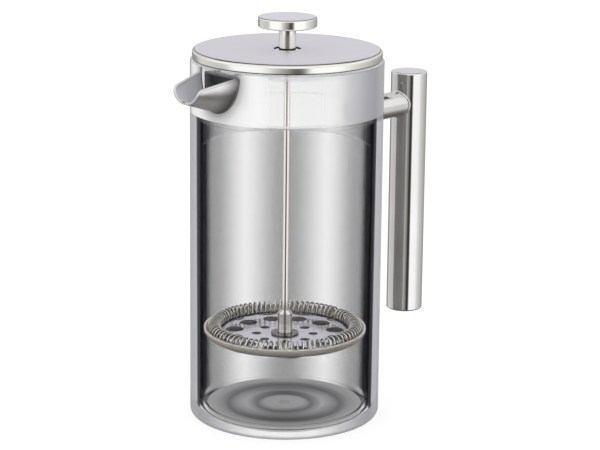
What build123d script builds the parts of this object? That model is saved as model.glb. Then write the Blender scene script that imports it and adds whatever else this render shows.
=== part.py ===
"""Double-walled french press: clear outer shell, smoke-grey liner, bar handle, spout, lid and plunger.

Units are millimetres. +Z is up and the origin is the middle of the foot, on the table.
The spout points along -X and the handle along +X.
"""

import math
import os

from build123d import *

# Vessel walls
BODY_DIAMETER = 105.0
BODY_HEIGHT = 199.0
OUTER_WALL = 1.8
FOOT_RADIUS = 3.0
RIM_EDGE = 0.4
LINER_GAP = 2.6
LINER_WALL = 2.6
LINER_CORNER = 5.0
LINER_LIFT = 1.4
SHOULDER_DROP = 27.5
SHOULDER_HEIGHT = 3.0
SEAL_WIDTH = 1.2
FLOOR_SHEET = 1.2
FLOOR_RING_DEPTH = 0.5

# Spout
SPOUT_REACH = 22.4
SPOUT_WALL = 1.2
SPOUT_ROOT_WIDTH = 29.0
SPOUT_ROOT_DEPTH = 21.0
SPOUT_LIP_WIDTH = 16.8
SPOUT_LIP_DEPTH = 6.8
SPOUT_ROOT_DROP = 1.8
SPOUT_LIP_DROP = 7.0
SPOUT_RAKE = 0.9
SPOUT_CORNER = 3.6

# Handle
FINGER_GAP = 35.7
GRIP_DIAMETER = 20.7
GRIP_WALL = 1.2
GRIP_TOP_DROP = 20.0
GRIP_LIFT = 41.6
GRIP_EDGE = 0.8
CAP_THICKNESS = 1.6
CAP_PLUG = 4.0
POST_DIAMETER = 14.6
POST_WALL = 1.5
POST_DROP = 16.5

# Lid
LID_STEP = 1.1
LID_THICKNESS = 5.9
LID_SHEET = 1.0
LID_EDGE = 0.9
LID_HOLE_DIAMETER = 14.4
FLANGE_STEP = 0.6
LINER_SHEET = 0.8
PLUG_DEPTH = 3.2
PLUG_LIP = 0.9
GASKET_WIDTH = 1.7
GASKET_CLEARANCE = 0.1
STRAINER_HEIGHT = 15.0
STRAINER_ANGLE = 40.0
STRAINER_SHEET = 0.8
STRAINER_TAB = 6.0
STRAINER_SOLID = 8.6
STRAINER_HOLE = 1.5
STRAINER_ROWS = 3
STRAINER_COLUMNS = 10
RIVET_DIAMETER = 2.0
RIVET_HEAD = 3.6
RIVET_HEAD_HEIGHT = 0.7

# Plunger
KNOB_DIAMETER = 32.0
KNOB_THICKNESS = 5.6
KNOB_EDGE = 0.8
NECK_DIAMETER = 9.2
NECK_RISE = 11.8
NECK_SEAT_DEPTH = 3.4
SPIGOT_DIAMETER = 5.0
SPIGOT_LENGTH = 3.0
ROD_DIAMETER = 3.4
ROD_IN_NECK = 9.0
BUSH_DIAMETER = 11.0
BUSH_COLLAR = 1.4
BUSH_COLLAR_WIDTH = 2.0
RUNNING_CLEARANCE = 0.08
SEATED_CLEARANCE = 0.05
FILTER_LIFT = 35.2
FILTER_CLEARANCE = 0.5
NUT_ACROSS_FLATS = 9.0
NUT_HEIGHT = 2.8
CROSS_PLATE = 1.0
MESH_SHEET = 0.4
SPRING_PLATE = 0.8
HEM_WIDTH = 2.0
LIP_SHEET = 0.8
LIP_HEIGHT = 1.2
COIL_DIAMETER = 7.4
COIL_WIRE = 1.0
COIL_TURNS = 82
COIL_SEAT = 1.0
HUB_DIAMETER = 8.2
HUB_HEIGHT = 13.4
HUB_CHAMFER = 1.5
HUB_FOOT_DIAMETER = 15.4
HUB_FOOT = 0.8
OUTER_HOLES = 12
INNER_HOLES = 8
PETALS = 6
STOP_GAP = 1.5

# Places worked out from the sizes above
outer_r = BODY_DIAMETER / 2
mouth_r = outer_r - OUTER_WALL
liner_out_r = mouth_r - LINER_GAP
liner_in_r = liner_out_r - LINER_WALL
foot_flat_r = outer_r - FOOT_RADIUS
liner_bottom = OUTER_WALL + LINER_LIFT
floor_top = liner_bottom + FLOOR_SHEET
ring_top = liner_bottom + LINER_WALL
floor_r = liner_out_r - LINER_CORNER
shoulder_top = BODY_HEIGHT - SHOULDER_DROP
shoulder_bottom = shoulder_top - SHOULDER_HEIGHT
shoulder_r = mouth_r - SEAL_WIDTH

lip_s = outer_r + SPOUT_REACH
root_s = math.sqrt(mouth_r**2 - (SPOUT_ROOT_WIDTH / 2 + SPOUT_WALL) ** 2) - SPOUT_WALL
root_top = BODY_HEIGHT - SPOUT_ROOT_DROP
lip_top = BODY_HEIGHT - SPOUT_LIP_DROP

grip_r = GRIP_DIAMETER / 2
grip_x = outer_r + FINGER_GAP + grip_r
grip_top = BODY_HEIGHT - GRIP_TOP_DROP
post_z = grip_top - POST_DROP

lid_r = outer_r - LID_STEP
lid_top = BODY_HEIGHT + LID_THICKNESS
flange_r = outer_r - FLANGE_STEP
flange_top = BODY_HEIGHT + LINER_SHEET
plate_bottom = BODY_HEIGHT - PLUG_DEPTH
plate_top = plate_bottom + LINER_SHEET
gasket_out_r = mouth_r - GASKET_CLEARANCE
gasket_in_r = gasket_out_r - GASKET_WIDTH
plug_r = gasket_in_r - GASKET_CLEARANCE

rod_r = ROD_DIAMETER / 2
neck_r = NECK_DIAMETER / 2
neck_bottom = lid_top - NECK_SEAT_DEPTH
knob_bottom = lid_top + NECK_RISE
knob_top = knob_bottom + KNOB_THICKNESS
rod_top = neck_bottom + ROD_IN_NECK
bush_r = BUSH_DIAMETER / 2
bush_collar_r = bush_r + BUSH_COLLAR_WIDTH
bush_bottom = plate_bottom - RUNNING_CLEARANCE - BUSH_COLLAR

nut_bottom = floor_top + FILTER_LIFT
cross_bottom = nut_bottom + NUT_HEIGHT
mesh_bottom = cross_bottom + CROSS_PLATE
spring_bottom = mesh_bottom + MESH_SHEET
spring_top = spring_bottom + SPRING_PLATE
hem_out_r = liner_in_r - FILTER_CLEARANCE
cup_r = COIL_DIAMETER / 2 + SEATED_CLEARANCE
coil_r = hem_out_r - HEM_WIDTH - cup_r
cup_bottom = spring_bottom + COIL_SEAT
coil_z = cup_bottom + cup_r
coil_turn_r = (COIL_DIAMETER - COIL_WIRE) / 2
disc_r = coil_r - SEATED_CLEARANCE
lip_out_r = coil_r - COIL_DIAMETER / 2 - SEATED_CLEARANCE
lip_in_r = lip_out_r - LIP_SHEET
hub_top = spring_top + HUB_HEIGHT
centre_hole_r = rod_r + SEATED_CLEARANCE
travel = bush_bottom - hub_top - STOP_GAP


def write(piece, name):
    """Labels a finished piece and writes it under that name."""
    piece.label = name
    export_step(piece, f"parts/{name}.step")


def polar(radius, degrees, height):
    """The point at that distance and angle around the vessel's axis."""
    turn = math.radians(degrees)
    return Vector(radius * math.cos(turn), radius * math.sin(turn), height)


os.makedirs("parts", exist_ok=True)

# Spout hollow: half ellipses at the root and the lip, open upwards through the rim
with BuildPart() as spout_hollow:
    for s, width, depth, top in (
        (root_s, SPOUT_ROOT_WIDTH, SPOUT_ROOT_DEPTH, root_top),
        (lip_s + SPOUT_WALL, SPOUT_LIP_WIDTH, SPOUT_LIP_DEPTH, lip_top),
    ):
        with BuildSketch(Plane((-s, 0, top), x_dir=(0, -1, 0), z_dir=(-1, 0, 0))):
            with BuildLine():
                EllipticalCenterArc((0, 0), width / 2, depth, start_angle=180, arc_size=180)
                Polyline(
                    (width / 2, 0),
                    (width / 2, SHOULDER_DROP),
                    (-width / 2, SHOULDER_DROP),
                    (-width / 2, 0),
                )
            make_face()
    loft(ruled=True)

# Outer wall: one clear shell with a rounded foot, turned in to meet the base
with BuildPart() as outer_wall:
    with BuildSketch(Plane.XZ):
        with BuildLine():
            Polyline(
                (foot_flat_r, OUTER_WALL),
                (foot_flat_r, 0),
            )
            RadiusArc((foot_flat_r, 0), (outer_r, FOOT_RADIUS), -FOOT_RADIUS)
            Polyline(
                (outer_r, FOOT_RADIUS),
                (outer_r, BODY_HEIGHT),
                (mouth_r, BODY_HEIGHT),
                (mouth_r, FOOT_RADIUS),
            )
            RadiusArc((mouth_r, FOOT_RADIUS), (foot_flat_r, OUTER_WALL), FOOT_RADIUS - OUTER_WALL)
        make_face()
    revolve(axis=Axis.Z)
    chamfer(outer_wall.edges().group_by(Axis.Z)[-1], RIM_EDGE)
    add(spout_hollow.part, mode=Mode.SUBTRACT)
write(outer_wall.part, "outer_wall")

# Outer base: the disc that closes the foot
with BuildPart() as outer_base:
    with BuildSketch():
        Circle(foot_flat_r)
    extrude(amount=OUTER_WALL)
write(outer_base.part, "outer_base")

# Inner wall: the liner, with its shoulder at the top and a rounded corner at the bottom
with BuildPart() as inner_wall:
    with BuildSketch(Plane.XZ):
        corner_z = liner_bottom + LINER_CORNER
        with BuildLine():
            Line((floor_r, ring_top), (floor_r, liner_bottom))
            RadiusArc((floor_r, liner_bottom), (liner_out_r, corner_z), -LINER_CORNER)
            Polyline(
                (liner_out_r, corner_z),
                (liner_out_r, shoulder_bottom),
                (shoulder_r, shoulder_bottom),
                (shoulder_r, shoulder_top),
                (liner_in_r, shoulder_top),
                (liner_in_r, corner_z),
            )
            RadiusArc((liner_in_r, corner_z), (floor_r, ring_top), LINER_CORNER - LINER_WALL)
        make_face()
    revolve(axis=Axis.Z)
write(inner_wall.part, "inner_wall")

# Inner floor: a pressed disc with two ring grooves
with BuildPart() as inner_floor:
    ring_half_width = floor_r / 11
    with BuildSketch(Plane.XZ):
        with BuildLine():
            Line((0, floor_top), (0, liner_bottom))
            Line((0, liner_bottom), (floor_r, liner_bottom))
            Line((floor_r, liner_bottom), (floor_r, floor_top))
            last_r = floor_r
            for ring_r in (floor_r * 0.72, floor_r * 0.35):
                Line((last_r, floor_top), (ring_r + ring_half_width, floor_top))
                ThreePointArc(
                    (ring_r + ring_half_width, floor_top),
                    (ring_r, floor_top - FLOOR_RING_DEPTH),
                    (ring_r - ring_half_width, floor_top),
                )
                last_r = ring_r - ring_half_width
            Line((last_r, floor_top), (0, floor_top))
        make_face()
    revolve(axis=Axis.Z)
write(inner_floor.part, "inner_floor")

# Shoulder seal: fills the width between the liner's shoulder and the outer wall
with BuildPart() as shoulder_seal:
    with BuildSketch(Plane.XY.offset(shoulder_bottom)):
        Circle(mouth_r)
        Circle(shoulder_r, mode=Mode.SUBTRACT)
    extrude(amount=SHOULDER_HEIGHT)
write(shoulder_seal.part, "shoulder_seal")

# Spout: a tapered trough that meets the outside of the wall
with BuildPart() as spout:
    for s, width, depth, top in (
        (root_s, SPOUT_ROOT_WIDTH, SPOUT_ROOT_DEPTH, root_top),
        (lip_s, SPOUT_LIP_WIDTH, SPOUT_LIP_DEPTH, lip_top),
    ):
        with BuildSketch(Plane((-s, 0, top), x_dir=(0, -1, 0), z_dir=(-1, 0, 0))):
            with BuildLine():
                EllipticalCenterArc(
                    (0, 0), width / 2 + SPOUT_WALL, depth + SPOUT_WALL, start_angle=180, arc_size=180
                )
                Line((width / 2 + SPOUT_WALL, 0), (-width / 2 - SPOUT_WALL, 0))
            make_face()
    loft(ruled=True)
    add(spout_hollow.part, mode=Mode.SUBTRACT)
    Cylinder(
        outer_r, BODY_HEIGHT, align=(Align.CENTER, Align.CENTER, Align.MIN), mode=Mode.SUBTRACT
    )
    with BuildSketch(Plane.XZ.offset(SPOUT_ROOT_WIDTH)) as side:
        with BuildLine():
            Polyline(
                (-root_s, root_top),
                (-root_s, shoulder_bottom),
                (-lip_s, shoulder_bottom),
                (-lip_s, lip_top - SPOUT_LIP_DEPTH),
                (-lip_s + SPOUT_RAKE, lip_top),
                close=True,
            )
        make_face()
        fillet(side.vertices().sort_by(Axis.X)[:3].sort_by(Axis.Y)[-1], SPOUT_CORNER)
    extrude(amount=-2 * SPOUT_ROOT_WIDTH, mode=Mode.INTERSECT)
write(spout.part, "spout")

# Handle grip: a plain upright tube
with BuildPart() as handle_grip:
    with BuildSketch(Plane.XY.offset(GRIP_LIFT)):
        with Locations((grip_x, 0)):
            Circle(grip_r)
            Circle(grip_r - GRIP_WALL, mode=Mode.SUBTRACT)
    extrude(amount=grip_top - GRIP_LIFT)
write(handle_grip.part, "handle_grip")

# Handle caps: a disc over each end of the grip, with a plug inside the tube
for cap_name, end_z, outwards in (
    ("handle_top_cap", grip_top, 1),
    ("handle_bottom_cap", GRIP_LIFT, -1),
):
    with BuildPart() as handle_cap:
        with BuildSketch(Plane((grip_x, 0, end_z), z_dir=(0, 0, outwards))):
            Circle(grip_r)
        extrude(amount=CAP_THICKNESS)
        fillet(handle_cap.edges().group_by(Axis.Z)[-1 if outwards > 0 else 0], GRIP_EDGE)
        with BuildSketch(Plane((grip_x, 0, end_z), z_dir=(0, 0, -outwards))):
            Circle(grip_r - GRIP_WALL - SEATED_CLEARANCE)
        extrude(amount=CAP_PLUG)
    write(handle_cap.part, cap_name)

# Handle post: a short tube, shaped to the wall at one end and to the grip at the other
with BuildPart() as handle_post:
    with BuildSketch(Plane((0, 0, post_z), x_dir=(0, 1, 0), z_dir=(1, 0, 0))):
        Circle(POST_DIAMETER / 2)
        Circle(POST_DIAMETER / 2 - POST_WALL, mode=Mode.SUBTRACT)
    extrude(amount=grip_x)
    Cylinder(
        outer_r, BODY_HEIGHT, align=(Align.CENTER, Align.CENTER, Align.MIN), mode=Mode.SUBTRACT
    )
    with Locations((grip_x, 0, 0)):
        Cylinder(
            grip_r, BODY_HEIGHT, align=(Align.CENTER, Align.CENTER, Align.MIN), mode=Mode.SUBTRACT
        )
write(handle_post.part, "handle_post")

# Lid cap: a flat disc with a turned-down rim and a wide centre hole
with BuildPart() as lid_cap:
    with BuildSketch(Plane.XZ):
        with BuildLine():
            Polyline(
                (LID_HOLE_DIAMETER / 2, lid_top),
                (lid_r, lid_top),
                (lid_r, flange_top),
                (lid_r - LID_SHEET, flange_top),
                (lid_r - LID_SHEET, lid_top - LID_SHEET),
                (LID_HOLE_DIAMETER / 2, lid_top - LID_SHEET),
                close=True,
            )
        make_face()
    revolve(axis=Axis.Z)
    fillet(lid_cap.edges().group_by(Axis.Z)[-1].sort_by(SortBy.RADIUS)[-1], LID_EDGE)
write(lid_cap.part, "lid_cap")

# Lid liner: rests on the rim, closes the lid from below and carries the gasket in its groove
rivet_r = plug_r - STRAINER_SHEET - STRAINER_TAB / 2
rivet_turns = [180 - STRAINER_ANGLE / 4, 180 + STRAINER_ANGLE / 4]
with BuildPart() as lid_liner:
    with BuildSketch(Plane.XZ):
        with BuildLine():
            Polyline(
                (bush_r + RUNNING_CLEARANCE, plate_bottom),
                (plug_r + PLUG_LIP, plate_bottom),
                (plug_r + PLUG_LIP, plate_top),
                (plug_r, plate_top),
                (plug_r, BODY_HEIGHT),
                (flange_r, BODY_HEIGHT),
                (flange_r, flange_top),
                (plug_r - LINER_SHEET, flange_top),
                (plug_r - LINER_SHEET, plate_top),
                (bush_r + RUNNING_CLEARANCE, plate_top),
                close=True,
            )
        make_face()
    revolve(axis=Axis.Z)
    with Locations(*[polar(rivet_r, turn, plate_bottom) for turn in rivet_turns]):
        Cylinder(RIVET_DIAMETER / 2 + SEATED_CLEARANCE, LID_THICKNESS, mode=Mode.SUBTRACT)
write(lid_liner.part, "lid_liner")

# Lid gasket: a soft ring in the liner's groove, against the mouth
with BuildPart() as lid_gasket:
    with BuildSketch(Plane.XZ) as gasket_section:
        with BuildLine():
            Polyline(
                (gasket_in_r, plate_top + GASKET_CLEARANCE),
                (gasket_out_r, plate_top + GASKET_CLEARANCE),
                (gasket_out_r, BODY_HEIGHT - GASKET_CLEARANCE),
                (gasket_in_r, BODY_HEIGHT - GASKET_CLEARANCE),
                close=True,
            )
        make_face()
        fillet(gasket_section.vertices().group_by(Axis.X)[-1], GASKET_WIDTH / 4)
    revolve(axis=Axis.Z)
write(lid_gasket.part, "lid_gasket")

# Pour strainer: a strip behind the spout, perforated low down, with a tab riveted under the lid liner
strainer_out_r = plug_r - STRAINER_SHEET / 2
strainer_in_r = strainer_out_r - STRAINER_SHEET
strainer_start = 180 - STRAINER_ANGLE / 2
with BuildPart() as pour_strainer:
    with BuildSketch(Plane.XZ):
        with BuildLine():
            Polyline(
                (strainer_in_r - STRAINER_TAB, plate_bottom),
                (strainer_out_r, plate_bottom),
                (strainer_out_r, plate_bottom - STRAINER_HEIGHT),
                (strainer_in_r, plate_bottom - STRAINER_HEIGHT),
                (strainer_in_r, plate_bottom - STRAINER_SHEET),
                (strainer_in_r - STRAINER_TAB, plate_bottom - STRAINER_SHEET),
                close=True,
            )
        make_face()
    revolve(axis=Axis.Z, revolution_arc=STRAINER_ANGLE)
    hole_places = []
    for row in range(STRAINER_ROWS):
        hole_share = (row + 0.75) / (STRAINER_ROWS + 0.5)
        hole_z = plate_bottom - STRAINER_SOLID - (STRAINER_HEIGHT - STRAINER_SOLID) * hole_share
        stagger = 0.25 if row % 2 else -0.25
        for column in range(STRAINER_COLUMNS):
            hole_turn = STRAINER_ANGLE * (column + 1 + stagger) / (STRAINER_COLUMNS + 1)
            radial = polar(1, hole_turn, 0)
            hole_at = Plane(polar(strainer_out_r, hole_turn, hole_z), z_dir=radial)
            hole_places.append(hole_at.location)
    with Locations(*hole_places):
        Cylinder(STRAINER_HOLE / 2, 4 * STRAINER_SHEET, mode=Mode.SUBTRACT)
    with Locations(*[polar(rivet_r, turn - strainer_start, plate_bottom) for turn in rivet_turns]):
        Cylinder(RIVET_DIAMETER / 2 + SEATED_CLEARANCE, 4 * STRAINER_SHEET, mode=Mode.SUBTRACT)
write(pour_strainer.part.rotate(Axis.Z, strainer_start), "pour_strainer")

# Strainer rivets: two, through the liner plate and the tab
with BuildPart() as strainer_rivets:
    stack_bottom = plate_bottom - STRAINER_SHEET
    for turn in rivet_turns:
        with BuildSketch(Plane(polar(rivet_r, turn, stack_bottom - RIVET_HEAD_HEIGHT))):
            Circle(RIVET_HEAD / 2)
        extrude(amount=RIVET_HEAD_HEIGHT)
        with BuildSketch(Plane(polar(rivet_r, turn, stack_bottom))):
            Circle(RIVET_DIAMETER / 2)
        extrude(amount=plate_top - stack_bottom)
        with BuildSketch(Plane(polar(rivet_r, turn, plate_top))):
            Circle(RIVET_HEAD / 2)
        extrude(amount=RIVET_HEAD_HEIGHT)
write(strainer_rivets.part, "strainer_rivets")

# Guide bush: a collared sleeve in the liner plate, on which the neck comes to rest
with BuildPart() as guide_bush:
    with BuildSketch(Plane.XZ):
        with BuildLine():
            collar_bottom = plate_top + RUNNING_CLEARANCE
            Polyline(
                (rod_r + RUNNING_CLEARANCE, bush_bottom),
                (bush_r, bush_bottom),
                (bush_r, collar_bottom),
                (bush_collar_r, collar_bottom),
                (bush_collar_r, collar_bottom + BUSH_COLLAR),
                (bush_r, collar_bottom + BUSH_COLLAR),
                (bush_r, neck_bottom),
                (rod_r + RUNNING_CLEARANCE, neck_bottom),
                close=True,
            )
        make_face()
    revolve(axis=Axis.Z)
write(guide_bush.part, "guide_bush")

# Bush retainer: a push-on ring that holds the bush from below
with BuildPart() as bush_retainer:
    with BuildSketch(Plane.XY.offset(bush_bottom)):
        Circle(bush_collar_r)
        Circle(bush_r, mode=Mode.SUBTRACT)
    extrude(amount=BUSH_COLLAR)
write(bush_retainer.part, "bush_retainer")

# Knob: a flat disc with a socket for the neck's spigot
with BuildPart() as knob:
    with BuildSketch(Plane.XY.offset(knob_bottom)):
        Circle(KNOB_DIAMETER / 2)
    extrude(amount=KNOB_THICKNESS)
    fillet(knob.edges().filter_by(GeomType.CIRCLE), KNOB_EDGE)
    with BuildSketch(Plane.XY.offset(knob_bottom)):
        Circle(SPIGOT_DIAMETER / 2 + SEATED_CLEARANCE)
    extrude(amount=SPIGOT_LENGTH + SEATED_CLEARANCE, mode=Mode.SUBTRACT)
write(knob.part, "knob")

# Knob neck: joins the knob to the rod, and stops on the guide bush
with BuildPart() as knob_neck:
    with BuildSketch(Plane.XZ):
        with BuildLine():
            Polyline(
                (rod_r + SEATED_CLEARANCE, neck_bottom),
                (neck_r, neck_bottom),
                (neck_r, knob_bottom),
                (SPIGOT_DIAMETER / 2, knob_bottom),
                (SPIGOT_DIAMETER / 2, knob_bottom + SPIGOT_LENGTH),
                (0, knob_bottom + SPIGOT_LENGTH),
                (0, rod_top + SEATED_CLEARANCE),
                (rod_r + SEATED_CLEARANCE, rod_top + SEATED_CLEARANCE),
                close=True,
            )
        make_face()
    revolve(axis=Axis.Z)
write(knob_neck.part, "knob_neck")

# Plunger rod: from the neck down to the nut under the filter
with BuildPart() as plunger_rod:
    with BuildSketch(Plane.XY.offset(nut_bottom)):
        Circle(rod_r)
    extrude(amount=rod_top - nut_bottom)
    chamfer(plunger_rod.edges().group_by(Axis.Z)[0], rod_r / 4)
write(plunger_rod.part, "plunger_rod")

# Filter hub: a collar with a coned top and a thin foot on the spring plate
with BuildPart() as filter_hub:
    with BuildSketch(Plane.XZ):
        with BuildLine():
            Polyline(
                (centre_hole_r, spring_top),
                (HUB_FOOT_DIAMETER / 2, spring_top),
                (HUB_FOOT_DIAMETER / 2, spring_top + HUB_FOOT),
                (HUB_DIAMETER / 2, spring_top + HUB_FOOT),
                (HUB_DIAMETER / 2, hub_top - HUB_CHAMFER),
                (HUB_DIAMETER / 2 - HUB_CHAMFER, hub_top),
                (centre_hole_r, hub_top),
                close=True,
            )
        make_face()
    revolve(axis=Axis.Z)
write(filter_hub.part, "filter_hub")

# Spring plate: the upper filter plate, with a lip inside the coil and two rings of holes
outer_hole_ring = (lip_in_r + HUB_FOOT_DIAMETER / 2) * 0.68
inner_hole_ring = (lip_in_r + HUB_FOOT_DIAMETER / 2) * 0.37
with BuildPart() as spring_plate:
    with BuildSketch(Plane.XY.offset(spring_bottom)):
        Circle(lip_out_r)
        Circle(centre_hole_r, mode=Mode.SUBTRACT)
        with PolarLocations(outer_hole_ring, OUTER_HOLES):
            Circle(outer_hole_ring * 0.17, mode=Mode.SUBTRACT)
        with PolarLocations(inner_hole_ring, INNER_HOLES):
            Circle(inner_hole_ring * 0.17, mode=Mode.SUBTRACT)
    extrude(amount=SPRING_PLATE)
    with BuildSketch(Plane.XY.offset(spring_top)):
        Circle(lip_out_r)
        Circle(lip_in_r, mode=Mode.SUBTRACT)
    extrude(amount=LIP_HEIGHT)
write(spring_plate.part, "spring_plate")

# Mesh screen: the fine sieve between the two plates
with BuildPart() as mesh_screen:
    with BuildSketch(Plane.XY.offset(mesh_bottom)):
        Circle(disc_r)
        Circle(centre_hole_r, mode=Mode.SUBTRACT)
    extrude(amount=MESH_SHEET)
write(mesh_screen.part, "mesh_screen")

# Mesh hem: the edge of the sieve, turned up around the lower half of the coil, which rests in it
with BuildPart() as mesh_hem:
    hem_reach = (cup_r + HEM_WIDTH + coil_z - mesh_bottom) / 2
    diagonal = math.sqrt(0.5)
    with BuildSketch(Plane.XZ):
        with BuildLine():
            ThreePointArc(
                (coil_r, cup_bottom),
                (coil_r + cup_r * diagonal, coil_z - cup_r * diagonal),
                (coil_r + cup_r, coil_z),
            )
            Line((coil_r + cup_r, coil_z), (hem_out_r, coil_z))
            ThreePointArc(
                (hem_out_r, coil_z),
                (coil_r + hem_reach * diagonal, coil_z - hem_reach * diagonal),
                (coil_r, mesh_bottom),
            )
            Line((coil_r, mesh_bottom), (coil_r, cup_bottom))
        make_face()
    revolve(axis=Axis.Z)
write(mesh_hem.part, "mesh_hem")

# Cross plate: the lower filter plate, open in petals
petal_ring = (disc_r + NUT_ACROSS_FLATS / 2) / 2
with BuildPart() as cross_plate:
    with BuildSketch(Plane.XY.offset(cross_bottom)):
        Circle(disc_r)
        Circle(centre_hole_r, mode=Mode.SUBTRACT)
        with PolarLocations(petal_ring, PETALS):
            Ellipse(petal_ring * 0.56, petal_ring * 0.38, mode=Mode.SUBTRACT)
    extrude(amount=CROSS_PLATE)
write(cross_plate.part, "cross_plate")

# Filter nut: holds the stack on the rod
with BuildPart() as filter_nut:
    with BuildSketch(Plane.XY.offset(nut_bottom)):
        RegularPolygon(NUT_ACROSS_FLATS / 2, 6, major_radius=False)
        Circle(centre_hole_r, mode=Mode.SUBTRACT)
    extrude(amount=NUT_HEIGHT)
write(filter_nut.part, "filter_nut")


def coil_point(turns):
    """A point of the coil's centre line, and its direction, that many turns along it.

    The wire winds around a circle of radius coil_r while it goes once round the filter.
    The last turn is left out, so that the two ends stay apart.
    """
    wind = 2 * math.pi * turns
    sweep_turn = 2 * math.pi * turns / (COIL_TURNS + 1)
    rate = 1 / (COIL_TURNS + 1)
    outwards = Vector(math.cos(sweep_turn), math.sin(sweep_turn), 0)
    along = Vector(-math.sin(sweep_turn), math.cos(sweep_turn), 0)
    up = Vector(0, 0, 1)
    reach = coil_r + coil_turn_r * math.cos(wind)
    point = outwards * reach + up * (coil_z + coil_turn_r * math.sin(wind))
    direction = (
        along * (reach * rate)
        + outwards * (-coil_turn_r * math.sin(wind))
        + up * (coil_turn_r * math.cos(wind))
    )
    return point, direction.normalized()


def biarc_joint(start, start_direction, end, end_direction):
    """Where two tangent arcs of equal reach meet between two points with given directions."""
    chord = end - start
    total = start_direction + end_direction
    bend = 2 * (1 - start_direction.dot(end_direction))
    across = chord.dot(total)
    reach = (math.sqrt(across**2 + bend * chord.dot(chord)) - across) / bend
    return (start + start_direction * reach + end - end_direction * reach) * 0.5


# Rim spring: one wire wound around the edge of the filter
with BuildPart() as rim_spring:
    with BuildLine() as coil_path:
        for half_turn in range(2 * COIL_TURNS):
            start, start_direction = coil_point(half_turn / 2)
            end, end_direction = coil_point((half_turn + 1) / 2)
            joint = biarc_joint(start, start_direction, end, end_direction)
            first_arc = TangentArc(start, joint, tangent=start_direction)
            TangentArc(joint, end, tangent=first_arc % 1)
    with BuildSketch(coil_path.line ^ 0):
        Circle(COIL_WIRE / 2)
    sweep()
write(rim_spring.part, "rim_spring")

# Least gap between one turn of the spring and the next, measured on points of its centre line
POINTS_PER_TURN = 24
spring_points = [
    coil_point(i / POINTS_PER_TURN)[0] for i in range(COIL_TURNS * POINTS_PER_TURN + 1)
]
least_gap = min(
    (spring_points[i] - spring_points[j % len(spring_points)]).length
    for i in range(len(spring_points))
    for j in range(i + POINTS_PER_TURN // 2, i + 2 * POINTS_PER_TURN)
)
print(f"rim spring: least gap to itself {least_gap - COIL_WIRE:.2f} mm")
print(f"plunger travel {travel:.1f} mm, lid lift to clear the rim {BODY_HEIGHT - nut_bottom:.1f} mm")
print(f"height {knob_top:.1f} mm, reach {-lip_s:.1f} to {grip_x + grip_r:.1f} mm")
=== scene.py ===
"""Dresses the double-walled french press and sets it in a pale studio.

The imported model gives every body, joint and solid. This script adds the finishes, the pieces whose
surfaces the solids only stand for, and the floor, light and camera. Sizes in the classes are in
millimetres, as on a drawing, and turn into metres where a mesh or a node is made. Noise scales are in
waves per metre.
"""

import logging
import math
from collections.abc import Mapping, Sequence
from dataclasses import dataclass
from enum import Enum
from typing import Any

import bpy
import numpy as np
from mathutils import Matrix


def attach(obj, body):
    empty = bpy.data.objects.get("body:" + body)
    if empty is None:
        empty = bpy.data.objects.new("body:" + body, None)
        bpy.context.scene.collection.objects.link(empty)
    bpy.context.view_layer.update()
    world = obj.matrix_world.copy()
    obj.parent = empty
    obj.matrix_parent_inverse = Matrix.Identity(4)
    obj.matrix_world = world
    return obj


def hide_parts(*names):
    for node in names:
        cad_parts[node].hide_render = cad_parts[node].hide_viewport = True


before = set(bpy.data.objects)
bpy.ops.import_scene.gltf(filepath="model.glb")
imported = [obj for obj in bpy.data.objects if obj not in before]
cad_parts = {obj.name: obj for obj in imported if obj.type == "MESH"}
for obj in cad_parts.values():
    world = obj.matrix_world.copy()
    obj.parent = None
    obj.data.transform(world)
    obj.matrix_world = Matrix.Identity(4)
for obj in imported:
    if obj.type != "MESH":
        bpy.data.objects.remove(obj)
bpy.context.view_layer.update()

log = logging.getLogger("french_press")

MM = 0.001
BODY_RADIUS = 52.5
# How far the photograph's view is turned around Z, in degrees; at 0 it looks along +Y
FRONT_AZIMUTH = -45.0
# A way that no tube's path runs along
TUBE_HELPER = (0.13, 0.27, 0.95)
# Points closer than this, in metres, are one point
ONE_POINT = 1e-9
Colour = tuple[float, float, float]
Span = tuple[float, float]
Stop = tuple[float, Colour]
Levels = tuple[tuple[float, float], ...]


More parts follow.
